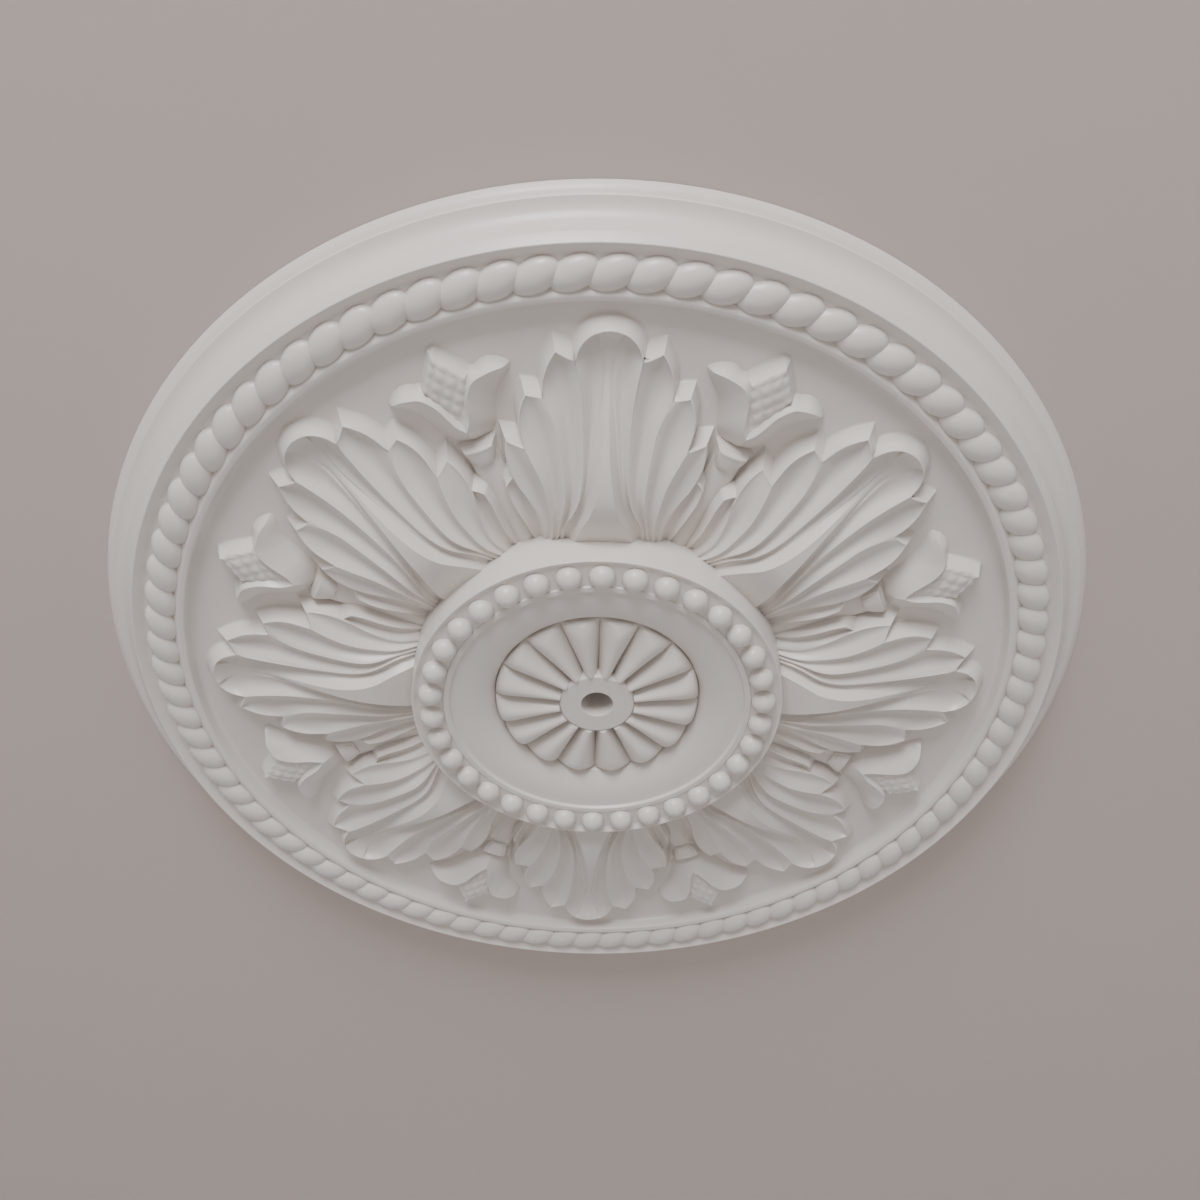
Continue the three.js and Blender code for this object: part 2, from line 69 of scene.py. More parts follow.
@dataclass
class ClosedMesh:
    """A closed surface: its points in metres and the corners of its faces."""

    points: np.ndarray
    faces: list[tuple[int, ...]]

    def facing_out(self) -> "ClosedMesh":
        """Turns the faces outwards where they face in.

        Returns:
            The same surface.
        """
        volume = 0.0
        for corners in self.faces:
            a = self.points[corners[0]]
            for i in range(1, len(corners) - 1):
                b, c = self.points[corners[i]], self.points[corners[i + 1]]
                volume += float(np.dot(a, np.cross(b, c)))
        if volume < 0:
            self.faces = [tuple(reversed(corners)) for corners in self.faces]
        return self

    def turned(self, angle: float) -> "ClosedMesh":
        """Turns a copy about the rose's axis.

        Args:
            angle: How far it turns, in radians.

        Returns:
            The turned copy.
        """
        c, s = math.cos(angle), math.sin(angle)
        turn = np.array([[c, s, 0.0], [-s, c, 0.0], [0.0, 0.0, 1.0]])
        return ClosedMesh(self.points @ turn, list(self.faces))

    def mirrored(self) -> "ClosedMesh":
        """Returns a copy mirrored from left to right, still facing out."""
        flipped = [tuple(reversed(corners)) for corners in self.faces]
        return ClosedMesh(self.points * np.array([-1.0, 1.0, 1.0]), flipped)

    def ring_of_copies(self, count: int, first: float = 0.0, step: int = 1) -> "ClosedMesh":
        """Repeats the surface about the rose's axis.

        Args:
            count: How many places the full circle has.
            first: Place of the first copy, in steps.
            step: Takes every place, or every second one.

        Returns:
            All the copies as one mesh.
        """
        turns = [2 * math.pi * (k + first) / count for k in range(0, count, step)]
        return joined([self.turned(turn) for turn in turns])

    def to_object(self, name: str) -> bpy.types.Object:
        """Adds an object that shows this surface to the scene.

        Args:
            name: The object's name.

        Returns:
            The new object.
        """
        mesh = bpy.data.meshes.new(name)
        mesh.from_pydata(self.points.tolist(), [], self.faces)
        mesh.validate()
        obj = bpy.data.objects.new(name, mesh)
        bpy.context.scene.collection.objects.link(obj)
        return obj


def joined(parts: list[ClosedMesh]) -> ClosedMesh:
    """Gathers several surfaces into one mesh, without fusing them.

    Args:
        parts: The surfaces.

    Returns:
        One mesh with the points and faces of all of them.
    """
    points: list[np.ndarray] = []
    faces: list[tuple[int, ...]] = []
    start = 0
    for part in parts:
        points.append(part.points)
        faces += [tuple(i + start for i in corners) for corners in part.faces]
        start += len(part.points)
    return ClosedMesh(np.vstack(points), faces)


def ring_points(radius: float, depths: np.ndarray) -> np.ndarray:
    """Returns points evenly spread round the rose's axis, with a depth for each one."""
    angles = 2 * np.pi * np.arange(len(depths)) / len(depths)
    return np.stack([radius * np.sin(angles), -radius * np.cos(angles), -depths], axis=1)


def stack_of_rings(rings: list[np.ndarray]) -> ClosedMesh:
    """Joins rings one after another, and the last to the first.

    Args:
        rings: The rings, each with the same number of points.

    Returns:
        The closed surface through all the rings.
    """
    count = len(rings[0])
    faces: list[tuple[int, ...]] = []
    for r in range(len(rings)):
        here, there = r * count, ((r + 1) % len(rings)) * count
        for k in range(count):
            m = (k + 1) % count
            faces.append((here + k, here + m, there + m, there + k))
    return ClosedMesh(np.vstack(rings), faces).facing_out()


class CarvedCurve:
    """A smooth curve through given points, read by its share of length."""

    def __init__(self, points: np.ndarray, steps: int = 24) -> None:
        """Draws the curve.

        Args:
            points: The points that it passes through.
            steps: How many steps it takes between two of them.
        """
        ends = np.vstack([2 * points[0] - points[1], points, 2 * points[-1] - points[-2]])
        t = np.linspace(0, 1, steps, endpoint=False)[:, None]
        pieces = []
        for p0, p1, p2, p3 in zip(ends, ends[1:], ends[2:], ends[3:]):
            pieces.append(0.5 * (2 * p1 + (p2 - p0) * t + (2 * p0 - 5 * p1 + 4 * p2 - p3) * t**2
                                 + (3 * p1 - p0 - 3 * p2 + p3) * t**3))
        self.dense = np.vstack([*pieces, points[-1:]])
        lengths = np.linalg.norm(np.diff(self.dense, axis=0), axis=1)
        self.share = np.concatenate([[0.0], np.cumsum(lengths)]) / lengths.sum()

    def at(self, shares: np.ndarray) -> np.ndarray:
        """Returns the points at the given shares of the curve's length."""
        columns = [np.interp(shares, self.share, self.dense[:, i]) for i in range(3)]
        return np.stack(columns, axis=1)


def edge_weighted(count: int, weight: float = 1.5) -> np.ndarray:
    """Returns shares from 0 to 1 that lie closer together towards 1."""
    return 1 - (1 - np.linspace(0, 1, count)) ** weight


def stepped_shares(stops: list[float], count: int) -> np.ndarray:
    """Spreads shares about evenly, and hits some of them.

    Args:
        stops: The shares to hit, in order, with both ends.
        count: About how many shares there are.

    Returns:
        The shares in order.
    """
    shares = [np.array([stops[0]])]
    for low, high in zip(stops, stops[1:]):
        steps = max(2, round((count - 1) * (high - low) / (stops[-1] - stops[0])))
        shares.append(np.linspace(low, high, steps + 1)[1:])
    return np.concatenate(shares)


@dataclass(frozen=True)
class Corner:
    """A corner of a turned profile, in metres from the axis and down from the ceiling."""

    radius: float
    depth: float
    rounding: float = 0.0


def rounded_profile(corners: list[Corner], steps: int = 4,
                    largest_share: float = 0.45) -> list[tuple[float, float]]:
    """Rounds the corners of a profile.

    Args:
        corners: The profile's corners in order, from the back's edge to the middle.
        steps: How many steps each rounding takes.
        largest_share: The most that a rounding takes of the stretch on either side.

    Returns:
        Points of radius and depth.
    """
    spots = [np.array([c.radius, c.depth]) for c in corners]
    outline: list[tuple[float, float]] = []
    for i, corner in enumerate(corners):
        here = spots[i]
        if corner.rounding <= 0 or i in (0, len(corners) - 1):
            outline.append((float(here[0]), float(here[1])))
            continue
        back, ahead = spots[i - 1] - here, spots[i + 1] - here
        shorter = min(np.linalg.norm(back), np.linalg.norm(ahead))
        reach = min(corner.rounding, largest_share * shorter)
        start = here + back / np.linalg.norm(back) * reach
        end = here + ahead / np.linalg.norm(ahead) * reach
        for t in np.linspace(0, 1, steps + 1):
            spot = (1 - t) ** 2 * start + 2 * t * (1 - t) * here + t**2 * end
            outline.append((float(spot[0]), float(spot[1])))
    return outline


@dataclass(frozen=True)
class RosePlan:
    """Sizes that the parts of the casting share, in metres."""

    radius: float
    depth: float
    leaf_count: int = 8
    field_depth: float = 0.0145
    field_outer_radius: float = 0.206
    hub_foot_radius: float = 0.0939
    hub_radius: float = 0.0923
    leaf_tip_radius: float = 0.196
    sink: float = 0.0025
    turn_steps: int = 192

    @property
    def leaf_span(self) -> float:
        """Length of a leaf from the hub to its tip."""
        return self.leaf_tip_radius - self.hub_foot_radius


class Side(Enum):
    """How one side of a carved patch ends."""

    SHOWN = "shown"
    BURIED = "buried"


@dataclass(frozen=True)
class DraftWall:
    """The side of a carved relief: a rounded edge, a drafted wall and a fillet at its foot."""

    field_depth: float
    sink: float
    lean_side: float = 0.0018
    lean_end: float = 0.0042
    buried_lean: float = 0.0003
    edge_round: float = 0.0006
    foot_round: float = 0.0014
    edge_share: float = 0.3
    foot_share: float = 0.4
    least_height: float = 0.0001
    least_mitre: float = 0.5
    round_steps: int = 3

    def close(self, grid: np.ndarray, hub: Side, far: Side, edge: Side, near: Side) -> ClosedMesh:
        """Closes a grid of surface points into a solid that stands in the body.

        Args:
            grid: Points as rows from the hub outwards and columns from side to side.
            hub: How the first row ends.
            far: How the last column ends.
            edge: How the last row ends.
            near: How the first column ends.

        Returns:
            The solid.
        """
        rows, columns = grid.shape[:2]
        places = [(0, j) for j in range(columns)]
        places += [(i, columns - 1) for i in range(1, rows)]
        places += [(rows - 1, j) for j in range(columns - 2, -1, -1)]
        places += [(i, 0) for i in range(rows - 2, 0, -1)]
        shown = np.array([self._is_shown(place, rows, columns, hub, far, edge, near) for place in places])
        rim = np.array([grid[place] for place in places])
        outward, mitre = self._outward(rim[:, :2])
        lean = self.lean_side + (self.lean_end - self.lean_side) * np.clip(outward[:, 1], 0, 1)
        lean = np.where(shown, lean, self.buried_lean) / mitre
        height = -rim[:, 2] - self.field_depth
        rings = [
            self._ring(rim, outward, offset, drop)
            for offset, drop in self._profile(shown, lean, height)
        ]
        top = grid.copy()
        for k, place in enumerate(places):
            top[place] = rings[0][k]
        base = grid.copy()
        base[:, :, 2] = -(self.field_depth - self.sink)
        return self._assemble(top, rings[1:], base, places)

    @staticmethod
    def _is_shown(place: tuple[int, int], rows: int, columns: int, hub: Side, far: Side,
                  edge: Side, near: Side) -> bool:
        """Tells whether a rim point shows.

        Args:
            place: The point's row and column.
            rows: How many rows the grid has.
            columns: How many columns the grid has.
            hub: How the first row ends.
            far: How the last column ends.
            edge: How the last row ends.
            near: How the first column ends.

        Returns:
            Whether every side that the point lies on is shown.
        """
        i, j = place
        sides = []
        if i == 0:
            sides.append(hub)
        if j == columns - 1:
            sides.append(far)
        if i == rows - 1:
            sides.append(edge)
        if j == 0:
            sides.append(near)
        return all(side is Side.SHOWN for side in sides)

    def _outward(self, plan: np.ndarray) -> tuple[np.ndarray, np.ndarray]:
        """Finds which way the wall leans at each rim point.

        Args:
            plan: The rim points seen in plan, in order.

        Returns:
            Each point's outward direction in plan and its mitre factor.
        """
        arriving = plan - np.roll(plan, 1, axis=0)
        leaving = np.roll(plan, -1, axis=0) - plan
        arriving /= np.maximum(np.linalg.norm(arriving, axis=1, keepdims=True), 1e-9)
        leaving /= np.maximum(np.linalg.norm(leaving, axis=1, keepdims=True), 1e-9)
        both = arriving + leaving
        outward = np.stack([both[:, 1], -both[:, 0]], axis=1)
        outward /= np.maximum(np.linalg.norm(outward, axis=1, keepdims=True), 1e-9)
        x, y = plan[:, 0], plan[:, 1]
        area = np.sum(x * np.roll(y, -1) - np.roll(x, -1) * y)
        if area < 0:
            outward = -outward
        mitre = np.abs(outward[:, 0] * leaving[:, 1] - outward[:, 1] * leaving[:, 0])
        return outward, np.maximum(mitre, self.least_mitre)

    def _profile(self, shown: np.ndarray, lean: np.ndarray,
                 height: np.ndarray) -> list[tuple[np.ndarray, np.ndarray]]:
        """Draws the section of the wall at each rim point.

        Args:
            shown: Whether the wall shows at the point.
            lean: How far the wall leans out there.
            height: How high the rim stands above the field there.

        Returns:
            The rings of the wall, as outward offset and drop.
        """
        tall = np.maximum(height, self.least_height)
        edge = np.where(shown, np.minimum(self.edge_round, self.edge_share * tall), 0.0)
        foot = np.where(shown, np.minimum(self.foot_round, self.foot_share * tall), 0.0)
        rings = []
        for angle in np.linspace(0, np.pi / 2, self.round_steps + 1):
            rings.append((edge * (np.sin(angle) - 1), edge * (1 - np.cos(angle))))
        for angle in np.linspace(0, np.pi / 2, self.round_steps + 1):
            offset = lean + foot * (1 - np.cos(angle))
            rings.append((offset, height - foot * (1 - np.sin(angle))))
        rings.append((lean + foot, height + self.sink))
        return rings

    @staticmethod
    def _ring(rim: np.ndarray, outward: np.ndarray, offset: np.ndarray, drop: np.ndarray) -> np.ndarray:
        """Moves the rim outwards in plan and up towards the body.

        Args:
            rim: The rim points.
            outward: Each point's outward direction in plan.
            offset: How far each point moves out.
            drop: How far each point moves up.

        Returns:
            The moved ring.
        """
        ring = rim.copy()
        ring[:, :2] += outward * offset[:, None]
        ring[:, 2] += drop
        return ring

    @staticmethod
    def _assemble(top: np.ndarray, rings: list[np.ndarray], base: np.ndarray,
                  places: list[tuple[int, int]]) -> ClosedMesh:
        """Joins the top, the wall and the base into a solid.

        Args:
            top: The carved surface as a grid of points.
            rings: The rings of the wall from the top down.
            base: The hidden underside as a grid of points.
            places: Row and column of each rim point.

        Returns:
            The solid.
        """
        rows, columns = top.shape[:2]
        count = rows * columns
        points = np.vstack([top.reshape(-1, 3), base.reshape(-1, 3), *rings[:-1]])
        top_rim = [i * columns + j for i, j in places]
        base_rim = [count + index for index in top_rim]
        points[base_rim] = rings[-1]
        loops = [top_rim]
        for r in range(len(rings) - 1):
            start = 2 * count + r * len(places)
            loops.append(list(range(start, start + len(places))))
        loops.append(base_rim)
        faces: list[tuple[int, ...]] = []
        for i in range(rows - 1):
            for j in range(columns - 1):
                a, b = i * columns + j, (i + 1) * columns + j
                faces.append((a, a + 1, b + 1, b))
                faces.append((count + a, count + b, count + b + 1, count + a + 1))
        for upper, lower in zip(loops, loops[1:]):
            for k in range(len(places)):
                m = (k + 1) % len(places)
                faces.append((upper[m], upper[k], lower[k], lower[m]))
        return ClosedMesh(points, faces).facing_out()


@dataclass
class CarvedForm:
    """A form that stands on the field, with its points as shares of its own size."""

    plan: RosePlan
    half_width: float
    relief: float

    def placed(self, shares: list[Share]) -> np.ndarray:
        """Turns shares into places.

        Args:
            shares: Points as shares of half width, span and relief.

        Returns:
            The points in metres.
        """
        across, along, rise = np.array(shares, float).T
        y = self.plan.hub_foot_radius + along * self.plan.leaf_span
        z = -self.plan.field_depth - rise * self.relief
        return np.stack([across * self.half_width, y, z], axis=1)

    def curve(self, shares: list[Share]) -> CarvedCurve:
        """Returns the smooth curve through points given as shares."""
        return CarvedCurve(self.placed(shares))


@dataclass(frozen=True)
class Lobe:
    """Outline of a side lobe between two notches: its tip and the point that bends its side."""

    tip: Share
    bend: Share


@dataclass
class AcanthusLeaf(CarvedForm):
    """One leaf: a midrib, four fluted lobes on each side and a round scooped end lobe."""

    half_width: float = 0.044
    relief: float = 0.0207
    flute_ratio: float = 0.42
    flute_end_sharpness: float = 18.0
    crest_softness: float = 0.9
    crest_sharpening: float = 8.0
    middle_flute_share: float = 0.75
    lobe_tip_share: float = 0.4
    lobe_pull: float = 3.0
    end_lobe_pull: float = 8.0
    end_lobe_half_width: float = 0.325
    end_lobe_length: float = 0.14
    lobe_rows: int = 27
    lobe_columns: int = 11
    middle_rows: int = 34
    ridge_columns: int = 5
    flute_columns: int = 11
    axis: list[Share] = field(default_factory=lambda: [
        (0, -0.05, 0.56), (0, 0.07, 0.8), (0, 0.18, 0.99), (0, 0.29, 1), (0, 0.415, 0.86),
        (0, 0.56, 0.6), (0, 0.71, 0.3), (0, 0.81, 0.15), (0, 0.93, 0.17), (0, 1, 0.4)])
    ridge: list[Share] = field(default_factory=lambda: [
        (0.315, -0.04, 0.56), (0.24, 0.07, 0.8), (0.136, 0.18, 0.99), (0.08, 0.29, 1),
        (0.043, 0.415, 0.86), (0.023, 0.56, 0.6), (0.014, 0.71, 0.3), (0.018, 0.81, 0.15),
        (0.04, 0.93, 0.17), (0.07, 0.996, 0.4)])
    foot: list[Share] = field(default_factory=lambda: [
        (0.37, -0.04, 0.42), (0.31, 0.07, 0.58), (0.225, 0.16, 0.67), (0.165, 0.27, 0.7),
        (0.125, 0.4, 0.65), (0.085, 0.55, 0.48), (0.045, 0.71, 0.26), (0.05, 0.81, 0.13),
        (0.1, 0.93, 0.17), (0.145, 0.985, 0.4)])
    crests: list[list[Share]] = field(default_factory=lambda: [
        [(0.43, -0.05, 0.4), (0.4, 0.067, 0.65), (0.295, 0.17, 0.79), (0.237, 0.277, 0.79),
         (0.225, 0.424, 0.68), (0.241, 0.63, 0.51), (0.286, 0.785, 0.42), (0.332, 0.86, 0.406)],
        [(0.49, -0.06, 0.4), (0.455, 0.062, 0.62), (0.414, 0.17, 0.8), (0.407, 0.267, 0.8),
         (0.445, 0.414, 0.68), (0.5, 0.55, 0.54), (0.636, 0.685, 0.4)],
        [(0.54, -0.065, 0.38), (0.53, 0.062, 0.62), (0.568, 0.18, 0.69), (0.625, 0.287, 0.7),
         (0.716, 0.38, 0.67), (0.81, 0.462, 0.6)],
        [(0.59, -0.07, 0.33), (0.618, 0.043, 0.48), (0.682, 0.12, 0.53), (0.76, 0.185, 0.555),
         (0.857, 0.25, 0.555)],
        [(0.7, -0.085, 0.17), (0.8, 0.033, 0.43), (0.89, 0.12, 0.53), (0.965, 0.19, 0.555),
         (1.01, 0.256, 0.55)]])
    lobes: list[Lobe] = field(default_factory=lambda: [
        Lobe(tip=(0.518, 0.897, 0.36), bend=(0.68, 0.8, 0.38)),
        Lobe(tip=(0.807, 0.7, 0.41), bend=(0.94, 0.6, 0.48)),
        Lobe(tip=(1, 0.482, 0.455), bend=(1.045, 0.37, 0.52)),
        Lobe(tip=(0.925, 0.312, 0.5), bend=(0.99, 0.285, 0.53))])

    def __post_init__(self) -> None:
        """Works out the carved curves and the wall from the sizes."""
        self.wall = DraftWall(self.plan.field_depth, self.plan.sink)
        self.axis_curve = self.curve(self.axis)
        self.ridge_curve = self.curve(self.ridge)
        self.foot_curve = self.curve(self.foot)
        self.crest_curves = [self.curve(crest) for crest in self.crests]

    def _lobe_edge(self, index: int, s: np.ndarray) -> np.ndarray:
        """Draws the outline of a lobe.

        Args:
            index: Which lobe, counted from the end lobe.
            s: Shares from the lobe's first notch (0) to its second (1).

        Returns:
            The points of the outline at these shares.
        """
        first = self.crest_curves[index].dense[-1]
        second = self.crest_curves[index + 1].dense[-1]
        s = s[:, None]
        tip, bend = self.placed([self.lobes[index].tip, self.lobes[index].bend])
        rising = np.clip(s / self.lobe_tip_share, 0, 1)
        falling = np.clip((s - self.lobe_tip_share) / (1 - self.lobe_tip_share), 0, 1)
        side = tip * (1 - falling) ** 2 + 2 * bend * falling * (1 - falling) + second * falling**2
        return np.where(s <= self.lobe_tip_share, first * (1 - rising) + tip * rising, side)

    def _flute(self, s: np.ndarray, v: np.ndarray) -> np.ndarray:
        """Hollows a flute, with softer crests towards the hub.

        Args:
            s: Shares across the flute.
            v: Shares from the hub outwards.

        Returns:
            The depth of the hollow, as a share of its greatest.
        """
        sharp = 4 * s * (1 - s)
        soft = np.sin(np.pi * s) ** 2
        weight = self.crest_softness * (1 - v**self.crest_sharpening)
        return sharp * (1 - weight) + soft * weight

    def _lobe(self, index: int) -> ClosedMesh:
        """Carves one fluted side lobe, on the side where x is positive.

        Args:
            index: Which lobe, counted from the end lobe.

        Returns:
            The lobe's solid.
        """
        v = edge_weighted(self.lobe_rows)[:, None, None]
        s = stepped_shares([0, self.lobe_tip_share, 1], self.lobe_columns)
        start = self.crest_curves[index].at(v.ravel())[:, None, :]
        end = self.crest_curves[index + 1].at(v.ravel())[:, None, :]
        s3 = s[None, :, None]
        grid = start * (1 - s3) + end * s3
        first = self.crest_curves[index].dense[-1]
        second = self.crest_curves[index + 1].dense[-1]
        bulge = self._lobe_edge(index, s) - (first * (1 - s3[0]) + second * s3[0])
        grid = grid + bulge[None] * v**self.lobe_pull
        hollow = self.flute_ratio * (end - start)[:, :, 0] * self._flute(s[None, :], v[:, :, 0])
        grid[:, :, 2] += hollow * (1 - v[:, :, 0] ** self.flute_end_sharpness)
        outer = Side.SHOWN if index == len(self.crests) - 2 else Side.BURIED
        return self.wall.close(grid, Side.BURIED, outer, Side.SHOWN, Side.BURIED)

    def _middle(self) -> ClosedMesh:
        """Carves the midrib, the flutes beside it and the scooped end lobe.

        Returns:
            The solid of the leaf's middle.
        """
        v = edge_weighted(self.middle_rows)
        axis, ridge = self.axis_curve.at(v), self.ridge_curve.at(v)
        foot, crest = self.foot_curve.at(v), self.crest_curves[0].at(v)
        columns = [axis, 0.5 * (axis + ridge)]
        for t in np.linspace(0, 1, self.ridge_columns):
            columns.append(ridge * (1 - t) + foot * t)
        reach = self.end_lobe_half_width * self.half_width
        end_length = self.end_lobe_length * self.plan.leaf_span
        depth = self.middle_flute_share * self.flute_ratio * (crest - foot)[:, 0]
        angle = np.arcsin(np.clip(foot[:, 0] / reach, 0, 1))
        for s in np.linspace(0, 1, self.flute_columns)[1:]:
            point = foot * (1 - s) + crest * s
            turn = angle + (np.pi / 2 - angle) * s
            edge_x = reach * np.sin(turn)
            edge_y = self.plan.leaf_tip_radius - end_length * (1 - np.cos(turn))
            point[:, 0] += (edge_x - point[:, 0]) * v**self.end_lobe_pull
            point[:, 1] += (edge_y - point[:, 1]) * v**self.end_lobe_pull
            point[:, 2] += depth * self._flute(s, v) * (1 - v**self.flute_end_sharpness)
            columns.append(point)
        half = np.stack(columns, axis=1)
        other = half[:, :0:-1] * np.array([-1.0, 1.0, 1.0])
        grid = np.concatenate([other, half], axis=1)
        return self.wall.close(grid, Side.BURIED, Side.BURIED, Side.SHOWN, Side.BURIED)

    def pieces(self) -> list[ClosedMesh]:
        """Returns the leaf's solids, which overlap only where they meet."""
        lobes = [self._lobe(index) for index in range(len(self.crests) - 1)]
        return [self._middle(), *lobes, *[lobe.mirrored() for lobe in lobes]]


@dataclass
class Flower(CarvedForm):
    """A flower between two leaves: a stem, a collar, two parting petals and a scaly bud."""

    half_width: float = 0.029
    relief: float = 0.0105
    stem_half_width: float = 0.007
    stem_hub_share: float = 0.6
    stem_height: float = 0.005
    stem_side_share: float = 0.6
    stem_end: float = 0.545
    stem_roundness: float = 2.2
    stem_grid: tuple[int, int] = (10, 11)
    petal_swell: float = 0.18
    petal_swell_fade: float = 0.4
    petal_columns: int = 30
    petal_inner_rows: int = 9
    petal_outer_rows: int = 6
    bud_crown: float = 0.0011
    bud_grid: tuple[int, int] = (31, 17)
    scale_height: float = 0.0009
    scale_width: float = 0.0066
    scale_length: float = 0.0084
    scale_roundness: float = 0.7
    collar_dome: float = 0.0012
    collar_grid: tuple[int, int] = (7, 9)
    crest: list[Share] = field(default_factory=lambda: [
        (0, 0.634, 0.95), (0.095, 0.67, 0.98), (0.165, 0.72, 1), (0.24, 0.78, 1), (0.355, 0.828, 1),
        (0.45, 0.848, 0.97), (0.58, 0.855, 0.92), (0.745, 0.856, 0.8), (0.9, 0.843, 0.48),
        (1, 0.838, -0.02)])
    outer: list[Share] = field(default_factory=lambda: [
        (0, 0.69, 0.66), (0.095, 0.735, 0.66), (0.172, 0.79, 0.66), (0.28, 0.855, 0.4),
        (0.37, 0.889, -0.1), (0.47, 0.884, -0.1), (0.6, 0.9, -0.1), (0.76, 0.896, -0.1),
        (0.91, 0.872, -0.1), (1.01, 0.842, -0.1)])
    inner: list[Share] = field(default_factory=lambda: [
        (0, 0.537, -0.1), (0.17, 0.543, -0.1), (0.3, 0.555, -0.1), (0.42, 0.59, -0.1), (0.51, 0.651, -0.1),
        (0.64, 0.727, -0.1), (0.79, 0.772, -0.1), (0.965, 0.813, -0.1), (1.01, 0.836, -0.1)])
    bud: list[Share] = field(default_factory=lambda: [
        (0.01, 0.65, 0.62), (0.2, 0.75, 0.66), (0.33, 0.865, 0.7), (0.17, 0.93, 0.68), (0.01, 0.988, 0.62)])
    collar: list[Share] = field(default_factory=lambda: [(0.14, 0.44, 0.52), (0.24, 0.53, 0.64)])

    def __post_init__(self) -> None:
        """Makes the walls that close the solids."""
        self.steep = DraftWall(self.plan.field_depth, self.plan.sink, lean_side=0.0008, lean_end=0.0012,
                               edge_round=0.0005, foot_round=0.0009)
        self.capped = DraftWall(self.plan.field_depth, self.plan.sink, lean_side=0.0012, lean_end=0.0026,
                                edge_round=0.001, foot_round=0.0008)
        self.leaning = DraftWall(self.plan.field_depth, self.plan.sink, lean_side=0.0026, lean_end=0.0026,
                                 edge_round=0.0006, foot_round=0.0012)

    def _petals(self) -> ClosedMesh:
        """Carves both petals.

        Returns:
            One solid with both of them.
        """
        t = np.linspace(0, 1, self.petal_columns)
        inner, crest, outer = (self.curve(line).at(t) for line in (self.inner, self.crest, self.outer))
        height = -crest[:, 2] - self.plan.field_depth
        lines = []
        for s in np.linspace(0, 1, self.petal_inner_rows):
            line = inner * (1 - s) + crest * s
            line[:, 2] -= self.petal_swell * height * 4 * s * (1 - s) * (1 - self.petal_swell_fade * s)
            lines.append(line)
        for s in np.linspace(0, 1, self.petal_outer_rows)[1:]:
            lines.append(crest * (1 - s) + outer * s)
        half = np.stack(lines, axis=0)
        other = half[:, :0:-1] * np.array([-1.0, 1.0, 1.0])
        grid = np.concatenate([other, half], axis=1)
        return self.steep.close(grid, Side.BURIED, Side.BURIED, Side.BURIED, Side.BURIED)

    def _bud(self) -> ClosedMesh:
        """Carves the pointed bud, with rows of scales on its top.

        Returns:
            The bud's solid.
        """
        corners = self.placed(self.bud)
        rows, columns = self.bud_grid
        y = np.linspace(corners[0][1], corners[-1][1], rows)
        half_width = np.interp(y, corners[:, 1], corners[:, 0])
        base = np.interp(y, corners[:, 1], corners[:, 2])
        share = np.linspace(-1, 1, columns)
        x = half_width[:, None] * share[None, :]
        crown = self.bud_crown * (1 - share**2)[None, :] * np.ones_like(x)
        slant = x / self.scale_width
        along = (y[-1] - y)[:, None] / self.scale_length
        waves = np.cos(np.pi * (along + slant)) * np.cos(np.pi * (along - slant))
        scales = self.scale_height * np.abs(waves) ** self.scale_roundness
        grid = np.stack([x, np.repeat(y[:, None], columns, axis=1), base[:, None] - crown - scales], axis=2)
        return self.leaning.close(grid, Side.SHOWN, Side.SHOWN, Side.SHOWN, Side.SHOWN)

    def _collar(self) -> ClosedMesh:
        """Carves the collar below the petals.

        Returns:
            The collar's solid.
        """
        near, far = self.placed(self.collar)
        count, columns = self.collar_grid
        rows = []
        for t in np.linspace(0, 1, count):
            half = near[0] + (far[0] - near[0]) * math.sin(t * np.pi / 2)
            x = np.linspace(-half, half, columns)
            y = near[1] + (far[1] - near[1]) * t
            z = near[2] + (far[2] - near[2]) * t
            dome = self.collar_dome * (1 - (x / half) ** 2)
            rows.append(np.stack([x, np.full(columns, y), z - dome], axis=1))
        return self.capped.close(np.array(rows), Side.SHOWN, Side.SHOWN, Side.SHOWN, Side.SHOWN)

    def _stem(self) -> ClosedMesh:
        """Carves the low stem that fills the gap between the leaves, from the hub to the petals.

        Returns:
            The stem's solid.
        """
        start = self.plan.hub_radius - self.plan.sink
        end = self.plan.hub_foot_radius + self.stem_end * self.plan.leaf_span
        count, columns = self.stem_grid
        x = np.linspace(-1, 1, columns)
        height = self.stem_height * (1 - (1 - self.stem_side_share) * np.abs(x) ** self.stem_roundness)
        rows = []
        for t in np.linspace(0, 1, count):
            share = self.stem_hub_share + (1 - self.stem_hub_share) * math.sin(t * np.pi / 2)
            across = x * share * self.stem_half_width
            y = np.full(columns, start + (end - start) * t)
            rows.append(np.stack([across, y, -self.plan.field_depth - height], axis=1))
        return self.steep.close(np.array(rows), Side.BURIED, Side.SHOWN, Side.SHOWN, Side.SHOWN)

    def pieces(self) -> list[ClosedMesh]:
        """Returns the flower's solids."""
        return [self._petals(), self._bud(), self._collar(), self._stem()]


